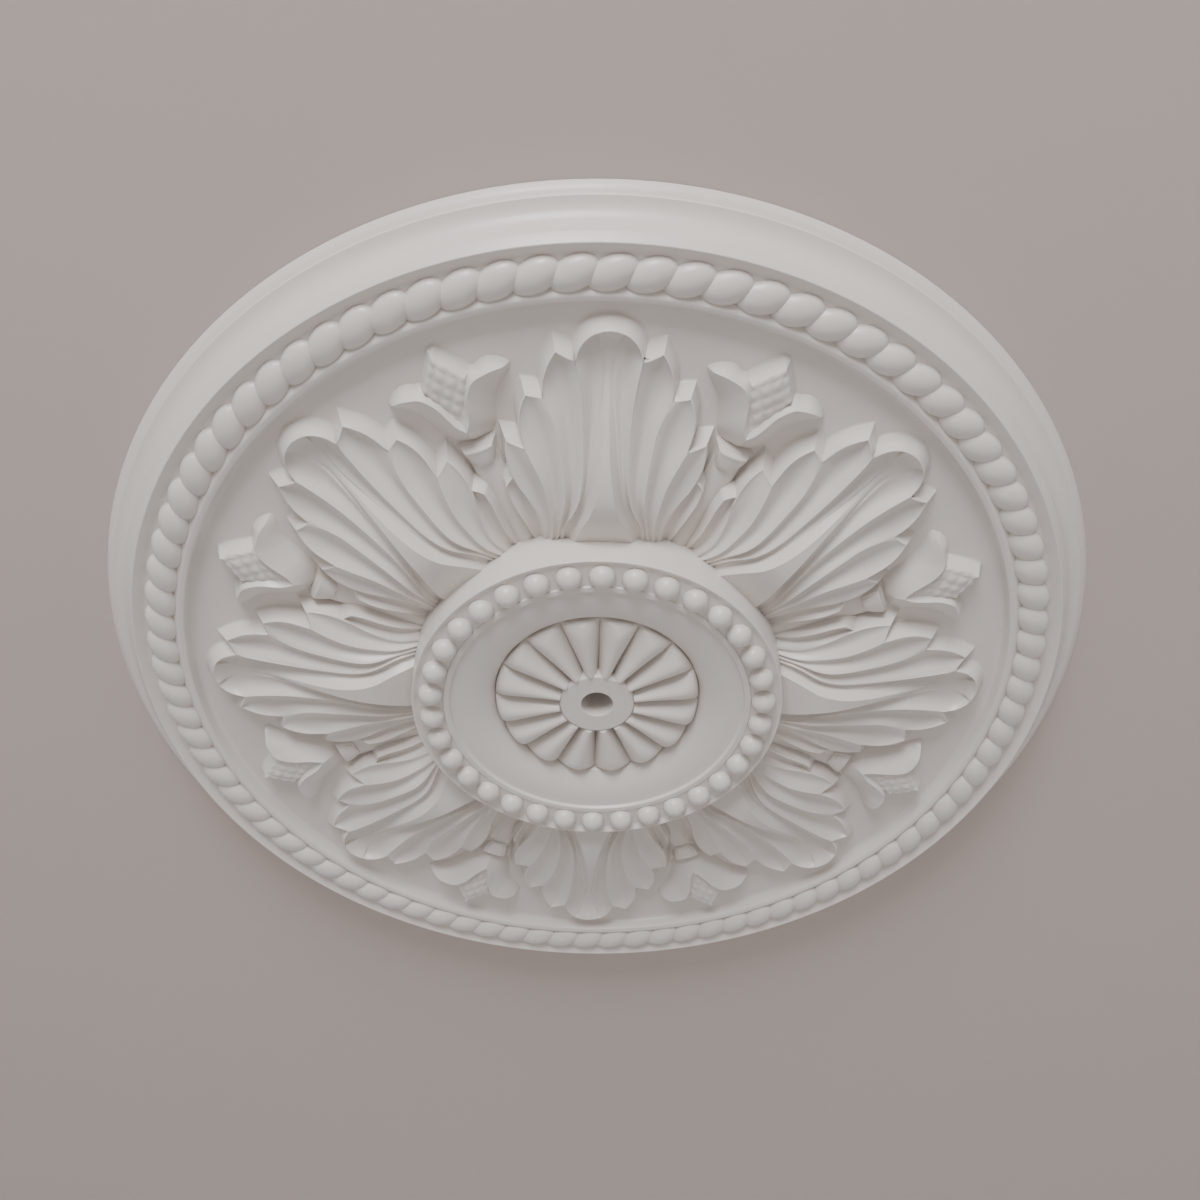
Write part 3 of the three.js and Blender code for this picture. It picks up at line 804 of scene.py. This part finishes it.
@dataclass
class RimAndHub:
    """The turned body: outer edge, cove, band, rope channel, fillet, field, hub and dish."""

    plan: RosePlan
    edge_depth: float = 0.0055
    edge_ledge: float = 0.0045
    edge_bulge: tuple[float, float] = (0.42, 0.54)
    edge_step: float = 0.0009
    back_chamfer: tuple[float, float] = (0.0002, 0.0006)
    cove_width: float = 0.0095
    cove_depth: float = 0.011
    cove_bend: tuple[float, float] = (0.87, 0.16)
    cove_steps: int = 10
    band_width: float = 0.0037
    band_depth: float = 0.0048
    crest_fall: float = 0.0052
    channel_recess: float = 0.0034
    channel_floor_slope: tuple[float, float] = (0.0035, 0.0004)
    rope_width: float = 0.0167
    fillet_width: float = 0.003
    fillet_fall: float = 0.0007
    hub_height: float = 0.0274
    hub_land: float = 0.0008
    bead_diameter: float = 0.0125
    bead_side_gap: float = 0.0001
    bead_channel_sink: float = 0.00145
    lip_width: float = 0.0029
    lip_sink: float = 0.0007
    dish_radius: float = 0.0738
    dish_hollow: float = 0.011
    dish_wall: tuple[float, float] = (0.0006, 0.0016)
    dish_start: float = 0.12
    dish_steps: int = 12
    rosette_radius: float = 0.0515
    boss_radius: float = 0.019
    boss_rise: float = 0.0078
    hole_radius: float = 0.008
    petal_count: int = 16
    petal_valley_rise: float = 0.001
    petal_crest_rise: float = 0.009
    petal_end_sharpness: float = 12.0
    petal_roundness: float = 0.7
    petal_rings: int = 20
    petal_ring_weight: float = 1.6

    @property
    def band_outer_radius(self) -> float:
        """Radius where the cove ends and the slanting band starts."""
        return self.plan.radius - self.edge_ledge - self.cove_width

    @property
    def crest_radius(self) -> float:
        """Radius of the crisp crest outside the rope."""
        return self.band_outer_radius - self.band_width

    @property
    def crest_depth(self) -> float:
        """Depth of the crisp crest outside the rope."""
        return self.edge_depth + self.cove_depth + self.band_depth

    @property
    def channel_outer_radius(self) -> float:
        """Outer radius of the rope's channel."""
        return self.crest_radius - self.crest_fall

    @property
    def channel_depth(self) -> float:
        """Depth of the floor of the rope's channel."""
        return self.crest_depth - self.channel_recess

    @property
    def rope_radius(self) -> float:
        """Radius of the middle of the rope."""
        return self.channel_outer_radius - self.rope_width / 2

    @property
    def hub_depth(self) -> float:
        """Depth of the hub's top edge."""
        return self.plan.field_depth + self.hub_height

    @property
    def bead_ring_radius(self) -> float:
        """Radius of the middle of the ring of beads."""
        return self.dish_radius + self.lip_width + self.bead_side_gap + self.bead_diameter / 2

    @property
    def dish_floor_depth(self) -> float:
        """Depth of the lowest part of the dish."""
        return self.hub_depth - self.lip_sink - self.dish_hollow

    def _rim_corners(self) -> list[Corner]:
        """Draws the profile from the back's edge to the field.

        Returns:
            Its corners in order.
        """
        cove_outer = self.plan.radius - self.edge_ledge
        edge_top = self.edge_depth - self.edge_step
        chamfer_in, chamfer_down = self.back_chamfer
        bulge_out, bulge_down = self.edge_bulge
        corners = [
            Corner(self.plan.radius, 0),
            Corner(self.plan.radius - chamfer_in, chamfer_down, rounding=0.0004),
            Corner(self.plan.radius - bulge_out * self.edge_ledge, bulge_down * self.edge_depth,
                   rounding=0.0012),
            Corner(cove_outer + 0.0003, edge_top, rounding=0.0002),
        ]
        bend_out, bend_down = self.cove_bend
        for t in np.linspace(0, 1, self.cove_steps):
            inwards = 2 * t * (1 - t) * bend_out + t**2
            down = 2 * t * (1 - t) * bend_down + t**2
            corners.append(Corner(cove_outer - inwards * self.cove_width,
                                  self.edge_depth + down * self.cove_depth,
                                  rounding=0.0008 if t == 1 else 0))
        channel_inner = self.channel_outer_radius - self.rope_width
        floor_run, floor_fall = self.channel_floor_slope
        fillet_depth = self.crest_depth - self.fillet_fall
        corners += [
            Corner(self.crest_radius, self.crest_depth, rounding=0.0006),
            Corner(self.channel_outer_radius, self.channel_depth, rounding=0.0012),
            Corner(channel_inner + floor_run, self.channel_depth + floor_fall, rounding=0.0008),
            Corner(channel_inner, self.crest_depth, rounding=0.001),
            Corner(channel_inner - self.fillet_width, fillet_depth, rounding=0.0007),
            Corner(self.plan.field_outer_radius, self.plan.field_depth, rounding=0.002),
        ]
        return corners

    def _hub_corners(self) -> list[Corner]:
        """Draws the profile from the field to the edge of the rosette.

        Returns:
            Its corners in order.
        """
        channel_outer = self.bead_ring_radius + self.bead_diameter / 2 + self.bead_side_gap
        channel_inner = self.dish_radius + self.lip_width
        floor = self.hub_depth - self.bead_channel_sink
        lip = self.hub_depth - self.lip_sink
        wall_run, wall_rise = self.dish_wall
        bowl_radius, bowl_depth = self.dish_radius - wall_run, lip - wall_rise
        corners = [
            Corner(self.plan.hub_foot_radius, self.plan.field_depth, rounding=0.0014),
            Corner(self.plan.hub_radius, self.hub_depth, rounding=0.0005),
            Corner(self.plan.hub_radius - self.hub_land, self.hub_depth, rounding=0.0006),
            Corner(channel_outer, floor, rounding=0.0012),
            Corner(channel_inner + 0.0003, floor, rounding=0.0004),
            Corner(channel_inner, lip, rounding=0.0004),
            Corner(self.dish_radius, lip, rounding=0.0005),
            Corner(bowl_radius, bowl_depth, rounding=0.0003),
        ]
        for angle in np.linspace(self.dish_start, 1, self.dish_steps) * np.pi / 2:
            radius = self.rosette_radius + (bowl_radius - self.rosette_radius) * (1 - math.sin(angle))
            depth = bowl_depth - (self.dish_hollow - wall_rise) * (1 - math.cos(angle))
            corners.append(Corner(radius, depth))
        return corners

    def _rosette_depth(self, radius: float, angles: np.ndarray) -> np.ndarray:
        """Swells the rosette's petals round one ring.

        Args:
            radius: Radius of the ring.
            angles: Where its points lie, in radians.

        Returns:
            The depth of each point.
        """
        out = (radius - self.boss_radius) / (self.rosette_radius - self.boss_radius)
        swell = math.sqrt(max(0.0, 1 - out**self.petal_end_sharpness))
        rounded = np.abs(np.sin(self.petal_count * angles / 2)) ** self.petal_roundness
        rise = self.petal_valley_rise + (self.petal_crest_rise - self.petal_valley_rise) * rounded
        return self.dish_floor_depth + swell * rise

    def build(self) -> ClosedMesh:
        """Builds the turned body with its rosette and cable hole.

        Returns:
            The body's closed surface.
        """
        steps = self.plan.turn_steps
        profile = rounded_profile(self._rim_corners() + self._hub_corners())
        rings = [ring_points(radius, np.full(steps, depth)) for radius, depth in profile[:-1]]
        angles = 2 * np.pi * np.arange(steps) / steps
        for share in 1 - np.linspace(0, 1, self.petal_rings) ** self.petal_ring_weight:
            radius = self.boss_radius + share * (self.rosette_radius - self.boss_radius)
            rings.append(ring_points(radius, self._rosette_depth(radius, angles)))
        boss_depth = self.dish_floor_depth + self.boss_rise
        boss = [
            Corner(self.boss_radius - 0.0002, boss_depth - 0.001),
            Corner(self.boss_radius - 0.0008, boss_depth, rounding=0.0005),
            Corner(self.hole_radius, boss_depth, rounding=0.0004),
            Corner(self.hole_radius, 0),
        ]
        for radius, depth in rounded_profile(boss):
            rings.append(ring_points(radius, np.full(steps, depth)))
        return stack_of_rings(rings)


@dataclass
class RoundOrnament:
    """The rope lobes in their channel and the beads round the hub."""

    body: RimAndHub
    rope_count: int = 88
    rope_slant_degrees: float = 23.0
    rope_lobe_length: float = 0.0208
    rope_height: float = 0.0056
    bead_count: int = 34
    bead_proud: float = 0.00475
    ball_grid: tuple[int, int] = (20, 12)

    def _ball(self) -> ClosedMesh:
        """Builds a ball with a radius of one.

        Returns:
            The ball.
        """
        around, up = self.ball_grid
        rings = []
        for polar in np.linspace(0, np.pi, up + 1)[1:-1]:
            depth = np.full(around, -math.cos(polar))
            rings.append(ring_points(math.sin(polar), depth))
        points = np.vstack([*rings, [[0, 0, 1]], [[0, 0, -1]]])
        top, bottom = len(points) - 2, len(points) - 1
        faces: list[tuple[int, ...]] = []
        for k in range(around):
            m = (k + 1) % around
            faces.append((top, k, m))
            last = (len(rings) - 1) * around
            faces.append((bottom, last + m, last + k))
            for r in range(len(rings) - 1):
                a, b = r * around, (r + 1) * around
                faces.append((a + k, b + k, b + m, a + m))
        return ClosedMesh(points, faces).facing_out()

    def rope_lobe(self) -> ClosedMesh:
        """Builds one lobe of the rope, lying aslant, at the near end of the rose.

        Returns:
            The lobe.
        """
        lobe = self._ball()
        shape = np.array([self.rope_lobe_length / 2, self.body.rope_width / 2, self.rope_height])
        points = lobe.points * shape
        points[:, 0] -= math.tan(math.radians(self.rope_slant_degrees)) * points[:, 1]
        points[:, 1] -= self.body.rope_radius
        points[:, 2] -= self.body.channel_depth
        return ClosedMesh(points, lobe.faces).facing_out()

    def bead(self) -> ClosedMesh:
        """Builds one bead, at the near end of the rose.

        Returns:
            The bead.
        """
        ball = self._ball()
        radius = self.body.bead_diameter / 2
        depth = self.body.hub_depth + self.bead_proud - radius
        points = ball.points * radius + np.array([0, -self.body.bead_ring_radius, -depth])
        return ClosedMesh(points, ball.faces)


class Casting:
    """Fuses the parts of the rose into the one surface of a moulded casting."""

    def __init__(self, name: str, body: ClosedMesh) -> None:
        """Starts the casting with one solid."""
        self.obj = body.to_object(name)

    def fuse(self, part: ClosedMesh, label: str) -> None:
        """Fuses one more set of solids into the casting.

        Args:
            part: Solids that don't touch each other, as one mesh.
            label: What they are called in the log.
        """
        other = part.to_object(f"{label}_tool")
        cut = self.obj.modifiers.new(label, "BOOLEAN")
        cut.operation = "UNION"
        cut.solver = "MANIFOLD"
        cut.object = other
        bpy.context.view_layer.update()
        shown = self.obj.evaluated_get(bpy.context.evaluated_depsgraph_get())
        mesh = bpy.data.meshes.new_from_object(shown)
        self.obj.modifiers.clear()
        self.obj.data = mesh
        bpy.data.objects.remove(other)
        log.info("fused %s: %d faces", label, len(mesh.polygons))

    def taken_back(self) -> ClosedMesh:
        """Takes the casting out of the scene.

        Returns:
            Its surface.
        """
        mesh = self.obj.data
        points = np.array([vertex.co[:] for vertex in mesh.vertices])
        faces = [tuple(polygon.vertices) for polygon in mesh.polygons]
        bpy.data.objects.remove(self.obj)
        return ClosedMesh(points, faces)

    def shade(self, sharp_degrees: float = 40.0, level_normal: float = 0.99995) -> None:
        """Smooths the shading, and keeps it sharp at hard edges and round level faces.

        Args:
            sharp_degrees: The bend from which an edge counts as hard.
            level_normal: How upright a face's normal has to be for the face to count as level.
        """
        mesh = self.obj.data
        mesh.shade_smooth()
        mesh.set_sharp_from_angle(angle=math.radians(sharp_degrees))
        sides: dict[tuple[int, int], set[bool]] = {}
        for polygon in mesh.polygons:
            is_level = abs(polygon.normal.z) > level_normal
            for key in polygon.edge_keys:
                sides.setdefault(key, set()).add(is_level)
        for edge in mesh.edges:
            if len(sides.get(edge.key, ())) == 2:
                edge.use_edge_sharp = True


@dataclass(frozen=True)
class Unevenness:
    """A fine unevenness of the paint: how many waves a metre has, its strength and its depth."""

    scale: float
    strength: float
    depth: float


@dataclass(frozen=True)
class WhitePrimer:
    """Matt warm white primer on a moulded casting."""

    name: str = "white_moulding"
    color: tuple[float, float, float] = (0.735, 0.69, 0.66)
    # Painted shade with faint dust: this darker colour is mixed into recesses and creases by ambient occlusion.
    shade_dust_color: tuple[float, float, float] = (0.68, 0.635, 0.605)
    shade_dust_reach: float = 0.006
    shade_dust_range: tuple[float, float] = (0.25, 0.85)
    cloud_scale: float = 14.0
    cloud_range: tuple[float, float] = (0.3, 0.7)
    cloud_floor: float = 0.82
    specular: float = 0.5
    roughness: float = 0.34
    sheen_scale: float = 90.0
    sheen_swing: float = 0.08
    grain: Unevenness = Unevenness(scale=1400.0, strength=0.12, depth=0.00015)
    swell: Unevenness = Unevenness(scale=120.0, strength=0.25, depth=0.0004)

    def material(self) -> bpy.types.Material:
        """Mixes the paint, with painted shade and faint dust in recesses and a fine rolled texture.

        Returns:
            The material.
        """
        paint = bpy.data.materials.new(self.name)
        paint.use_nodes = True
        tree = paint.node_tree
        shader = tree.nodes["Principled BSDF"]
        shader.inputs["Specular IOR Level"].default_value = self.specular
        where = tree.nodes.new("ShaderNodeTexCoord")
        self._color(tree, shader, where)
        self._texture(tree, shader, where)
        return paint

    def _noise(self, tree: bpy.types.NodeTree, where: bpy.types.Node, scale: float,
               detail: float = 2.0) -> bpy.types.NodeSocket:
        """Spreads a noise over the casting.

        Args:
            tree: The material's nodes.
            where: The node that gives places on the casting.
            scale: How many waves a metre has.
            detail: How much finer noise is laid over it.

        Returns:
            The socket with the noise's value.
        """
        noise = tree.nodes.new("ShaderNodeTexNoise")
        noise.inputs["Scale"].default_value = scale
        noise.inputs["Detail"].default_value = detail
        tree.links.new(where.outputs["Object"], noise.inputs["Vector"])
        return noise.outputs["Fac"]

    def _ramp(self, tree: bpy.types.NodeTree, value: bpy.types.NodeSocket, taken: tuple[float, float],
              given: tuple[float, float]) -> bpy.types.NodeSocket:
        """Maps one range of values to another.

        Args:
            tree: The material's nodes.
            value: The socket with the value.
            taken: The range that it is read over.
            given: The range that comes out.

        Returns:
            The socket with the mapped value.
        """
        ramp = tree.nodes.new("ShaderNodeMapRange")
        for name, number in zip(("From Min", "From Max", "To Min", "To Max"), (*taken, *given)):
            ramp.inputs[name].default_value = number
        tree.links.new(value, ramp.inputs["Value"])
        return ramp.outputs["Result"]

    def _bump(self, tree: bpy.types.NodeTree, where: bpy.types.Node, form: Unevenness) -> bpy.types.Node:
        """Adds one unevenness to the paint.

        Args:
            tree: The material's nodes.
            where: The node that gives places on the casting.
            form: The unevenness.

        Returns:
            Its bump node.
        """
        bump = tree.nodes.new("ShaderNodeBump")
        bump.inputs["Strength"].default_value = form.strength
        bump.inputs["Distance"].default_value = form.depth
        tree.links.new(self._noise(tree, where, form.scale), bump.inputs["Height"])
        return bump

    def _color(self, tree: bpy.types.NodeTree, shader: bpy.types.Node, where: bpy.types.Node) -> None:
        """Colours the paint: cloudy white, with painted shade and faint dust that darken it deep in the
        carving.

        Args:
            tree: The material's nodes.
            shader: The paint's shader.
            where: The node that gives places on the casting.
        """
        # Painted shade with faint dust: the ambient occlusion mask darkens the paint in recesses and creases.
        hollow = tree.nodes.new("ShaderNodeAmbientOcclusion")
        hollow.inputs["Distance"].default_value = self.shade_dust_reach
        hollow.samples = 8
        clouds = self._noise(tree, where, self.cloud_scale, detail=3.0)
        both = tree.nodes.new("ShaderNodeMath")
        both.operation = "MULTIPLY"
        tree.links.new(self._ramp(tree, hollow.outputs["AO"], self.shade_dust_range, (0, 1)), both.inputs[0])
        tree.links.new(self._ramp(tree, clouds, self.cloud_range, (self.cloud_floor, 1)), both.inputs[1])
        mix = tree.nodes.new("ShaderNodeMix")
        mix.data_type = "RGBA"
        mix.inputs["A"].default_value = (*self.shade_dust_color, 1)
        mix.inputs["B"].default_value = (*self.color, 1)
        tree.links.new(both.outputs["Value"], mix.inputs["Factor"])
        tree.links.new(mix.outputs["Result"], shader.inputs["Base Color"])

    def _texture(self, tree: bpy.types.NodeTree, shader: bpy.types.Node, where: bpy.types.Node) -> None:
        """Gives the paint its fine grain and its uneven sheen.

        Args:
            tree: The material's nodes.
            shader: The paint's shader.
            where: The node that gives places on the casting.
        """
        sheen = self._noise(tree, where, self.sheen_scale)
        spread = (self.roughness - self.sheen_swing, self.roughness + self.sheen_swing)
        tree.links.new(self._ramp(tree, sheen, (0, 1), spread), shader.inputs["Roughness"])
        grain, swell = self._bump(tree, where, self.grain), self._bump(tree, where, self.swell)
        tree.links.new(grain.outputs["Normal"], swell.inputs["Normal"])
        tree.links.new(swell.outputs["Normal"], shader.inputs["Normal"])


@dataclass(frozen=True)
class SoftLight:
    """A soft square light that faces the rose."""

    name: str
    place: tuple[float, float, float]
    size: float
    power: float
    color: tuple[float, float, float]

    def add(self) -> None:
        """Adds the light to the scene."""
        lamp = bpy.data.lights.new(self.name, "AREA")
        lamp.shape = "SQUARE"
        lamp.size = self.size
        lamp.energy = self.power
        lamp.color = self.color
        obj = bpy.data.objects.new(self.name, lamp)
        obj.location = self.place
        obj.rotation_euler = (-Vector(self.place)).to_track_quat("-Z", "Y").to_euler()
        bpy.context.scene.collection.objects.link(obj)


@dataclass
class Studio:
    """The plain setting: a pale floor, a pale backdrop above the rose, soft lights and the camera."""

    floor_drop: float = 2.4
    floor_size: float = 8.0
    backdrop_size: float = 6.0
    backdrop_gap: float = 0.0003
    back_light_reach: float = 0.0012
    backdrop_color: tuple[float, float, float] = (0.55, 0.482, 0.459)
    floor_color: tuple[float, float, float] = (0.7, 0.69, 0.68)
    wall_roughness: float = 0.9
    world_color: tuple[float, float, float] = (1.0, 0.985, 0.97)
    world_strength: float = 0.61
    camera_distance: float = 0.604
    camera_elevation_degrees: float = -51.7
    camera_azimuth_degrees: float = 1.71
    camera_target: tuple[float, float, float] = (0.0004, -0.0369, 0.0)
    camera_lens: float = 35.67
    camera_sensor: float = 36.0
    soft_lights: tuple[SoftLight, ...] = (
        SoftLight("soft_key", (-0.3, -2.1, -0.58), 0.8, 44.5, (1.0, 0.985, 0.97)),
        SoftLight("weak_fill", (0.2, 0.9, -2.1), 1.6, 5.0, (1.0, 0.98, 0.97)),
    )

    def _plane(self, name: str, size: float, height: float) -> bpy.types.Object:
        """Adds a level square that belongs to the stage.

        Args:
            name: The square's name.
            size: Length of its sides.
            height: How far it lies above the rose's back.

        Returns:
            The square.
        """
        half = size / 2
        corners = [(-half, -half, height), (half, -half, height), (half, half, height), (-half, half, height)]
        mesh = bpy.data.meshes.new(name)
        mesh.from_pydata(corners, [], [(0, 1, 2, 3)])
        obj = bpy.data.objects.new(name, mesh)
        bpy.context.scene.collection.objects.link(obj)
        return obj

    def _paint(self, name: str, color: tuple[float, float, float]) -> tuple[bpy.types.Material, bpy.types.Node]:
        """Mixes a matt plain paint.

        Args:
            name: The material's name.
            color: Its colour.

        Returns:
            The material and its shader.
        """
        paint = bpy.data.materials.new(name)
        paint.use_nodes = True
        shader = paint.node_tree.nodes["Principled BSDF"]
        shader.inputs["Base Color"].default_value = (*color, 1)
        shader.inputs["Roughness"].default_value = self.wall_roughness
        return paint, shader

    def floor(self) -> None:
        """Adds the pale floor, far below the rose."""
        paint, _ = self._paint("pale_floor", self.floor_color)
        self._plane("pale_floor", self.floor_size, -self.floor_drop).data.materials.append(paint)

    def backdrop(self) -> None:
        """Adds the plain backdrop just above the back.

        It only shows from below, and a ray that starts within the reach of the
        back's light passes it, so that the room lights the flat back.
        """
        paint, shader = self._paint("pale_backdrop", self.backdrop_color)
        tree = paint.node_tree
        clear = tree.nodes.new("ShaderNodeBsdfTransparent")
        side = tree.nodes.new("ShaderNodeNewGeometry")
        path = tree.nodes.new("ShaderNodeLightPath")
        far = tree.nodes.new("ShaderNodeMath")
        far.operation = "GREATER_THAN"
        far.inputs[1].default_value = self.back_light_reach
        solid = tree.nodes.new("ShaderNodeMath")
        solid.operation = "MULTIPLY"
        mix = tree.nodes.new("ShaderNodeMixShader")
        out = tree.nodes["Material Output"]
        tree.links.new(path.outputs["Ray Length"], far.inputs[0])
        tree.links.new(side.outputs["Backfacing"], solid.inputs[0])
        tree.links.new(far.outputs["Value"], solid.inputs[1])
        tree.links.new(solid.outputs["Value"], mix.inputs["Fac"])
        tree.links.new(clear.outputs["BSDF"], mix.inputs[1])
        tree.links.new(shader.outputs["BSDF"], mix.inputs[2])
        tree.links.new(mix.outputs["Shader"], out.inputs["Surface"])
        self._plane("pale_backdrop", self.backdrop_size, self.backdrop_gap).data.materials.append(paint)

    def lights(self) -> None:
        """Adds the soft key light, a weak fill and the even light of the room."""
        for light in self.soft_lights:
            light.add()
        world = bpy.data.worlds.new("soft_room")
        world.use_nodes = True
        sky = world.node_tree.nodes["Background"]
        sky.inputs["Color"].default_value = (*self.world_color, 1)
        sky.inputs["Strength"].default_value = self.world_strength
        bpy.context.scene.world = world

    def camera(self) -> None:
        """Adds the camera at the photograph's viewing angle."""
        elevation = math.radians(self.camera_elevation_degrees)
        azimuth = math.radians(self.camera_azimuth_degrees)
        out = Vector((-math.sin(azimuth) * math.cos(elevation), -math.cos(azimuth) * math.cos(elevation),
                      math.sin(elevation)))
        lens = bpy.data.cameras.new("view")
        lens.lens = self.camera_lens
        lens.sensor_width = self.camera_sensor
        obj = bpy.data.objects.new("view", lens)
        obj.location = Vector(self.camera_target) + out * self.camera_distance
        obj.rotation_euler = (-out).to_track_quat("-Z", "Y").to_euler()
        bpy.context.scene.collection.objects.link(obj)
        bpy.context.scene.camera = obj


def build_leaf(plan: RosePlan) -> ClosedMesh:
    """Fuses the pieces of one leaf, at the near end of the rose.

    Args:
        plan: Sizes that the parts of the casting share.

    Returns:
        The leaf's surface.
    """
    middle, *lobes = [piece.turned(math.pi) for piece in AcanthusLeaf(plan).pieces()]
    leaf = Casting("leaf_casting", middle)
    for index, lobe in enumerate(lobes):
        leaf.fuse(lobe, f"lobe_{index}")
    return leaf.taken_back()


def build_casting(plan: RosePlan) -> bpy.types.Object:
    """Fuses the whole rose into one surface.

    Args:
        plan: Sizes that the parts of the casting share.

    Returns:
        The casting's object.
    """
    body = RimAndHub(plan)
    ornament = RoundOrnament(body)
    casting = Casting("rose_casting", body.build())
    log.info("turned body: %d faces", len(casting.obj.data.polygons))
    leaf = build_leaf(plan)
    for first in (0, 1):
        casting.fuse(leaf.ring_of_copies(plan.leaf_count, first, 2), f"leaves_{first}")
    for name, piece in zip(("petals", "buds", "collars", "stems"), Flower(plan).pieces()):
        casting.fuse(piece.turned(math.pi).ring_of_copies(plan.leaf_count, 0.5), name)
    for first in (0, 1):
        casting.fuse(ornament.rope_lobe().ring_of_copies(ornament.rope_count, first, 2), f"rope_{first}")
    casting.fuse(ornament.bead().ring_of_copies(ornament.bead_count), "beads")
    casting.shade()
    return casting.obj


def main() -> None:
    """Builds the rose and its setting."""
    logging.basicConfig(level=logging.INFO, format="%(name)s: %(message)s")
    box_low, box_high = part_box("ceiling_rose")
    plan = RosePlan(radius=box_high.x, depth=-box_low.z)
    studio = Studio()
    studio.camera()
    rose = build_casting(plan)
    log.info("%s: %d faces in all", rose.name, len(rose.data.polygons))
    rose.data.materials.clear()
    rose.data.materials.append(WhitePrimer().material())
    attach(rose, "root")
    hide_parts("ceiling_rose")
    studio.floor()
    studio.backdrop()
    studio.lights()


if __name__ == "__main__":
    main()
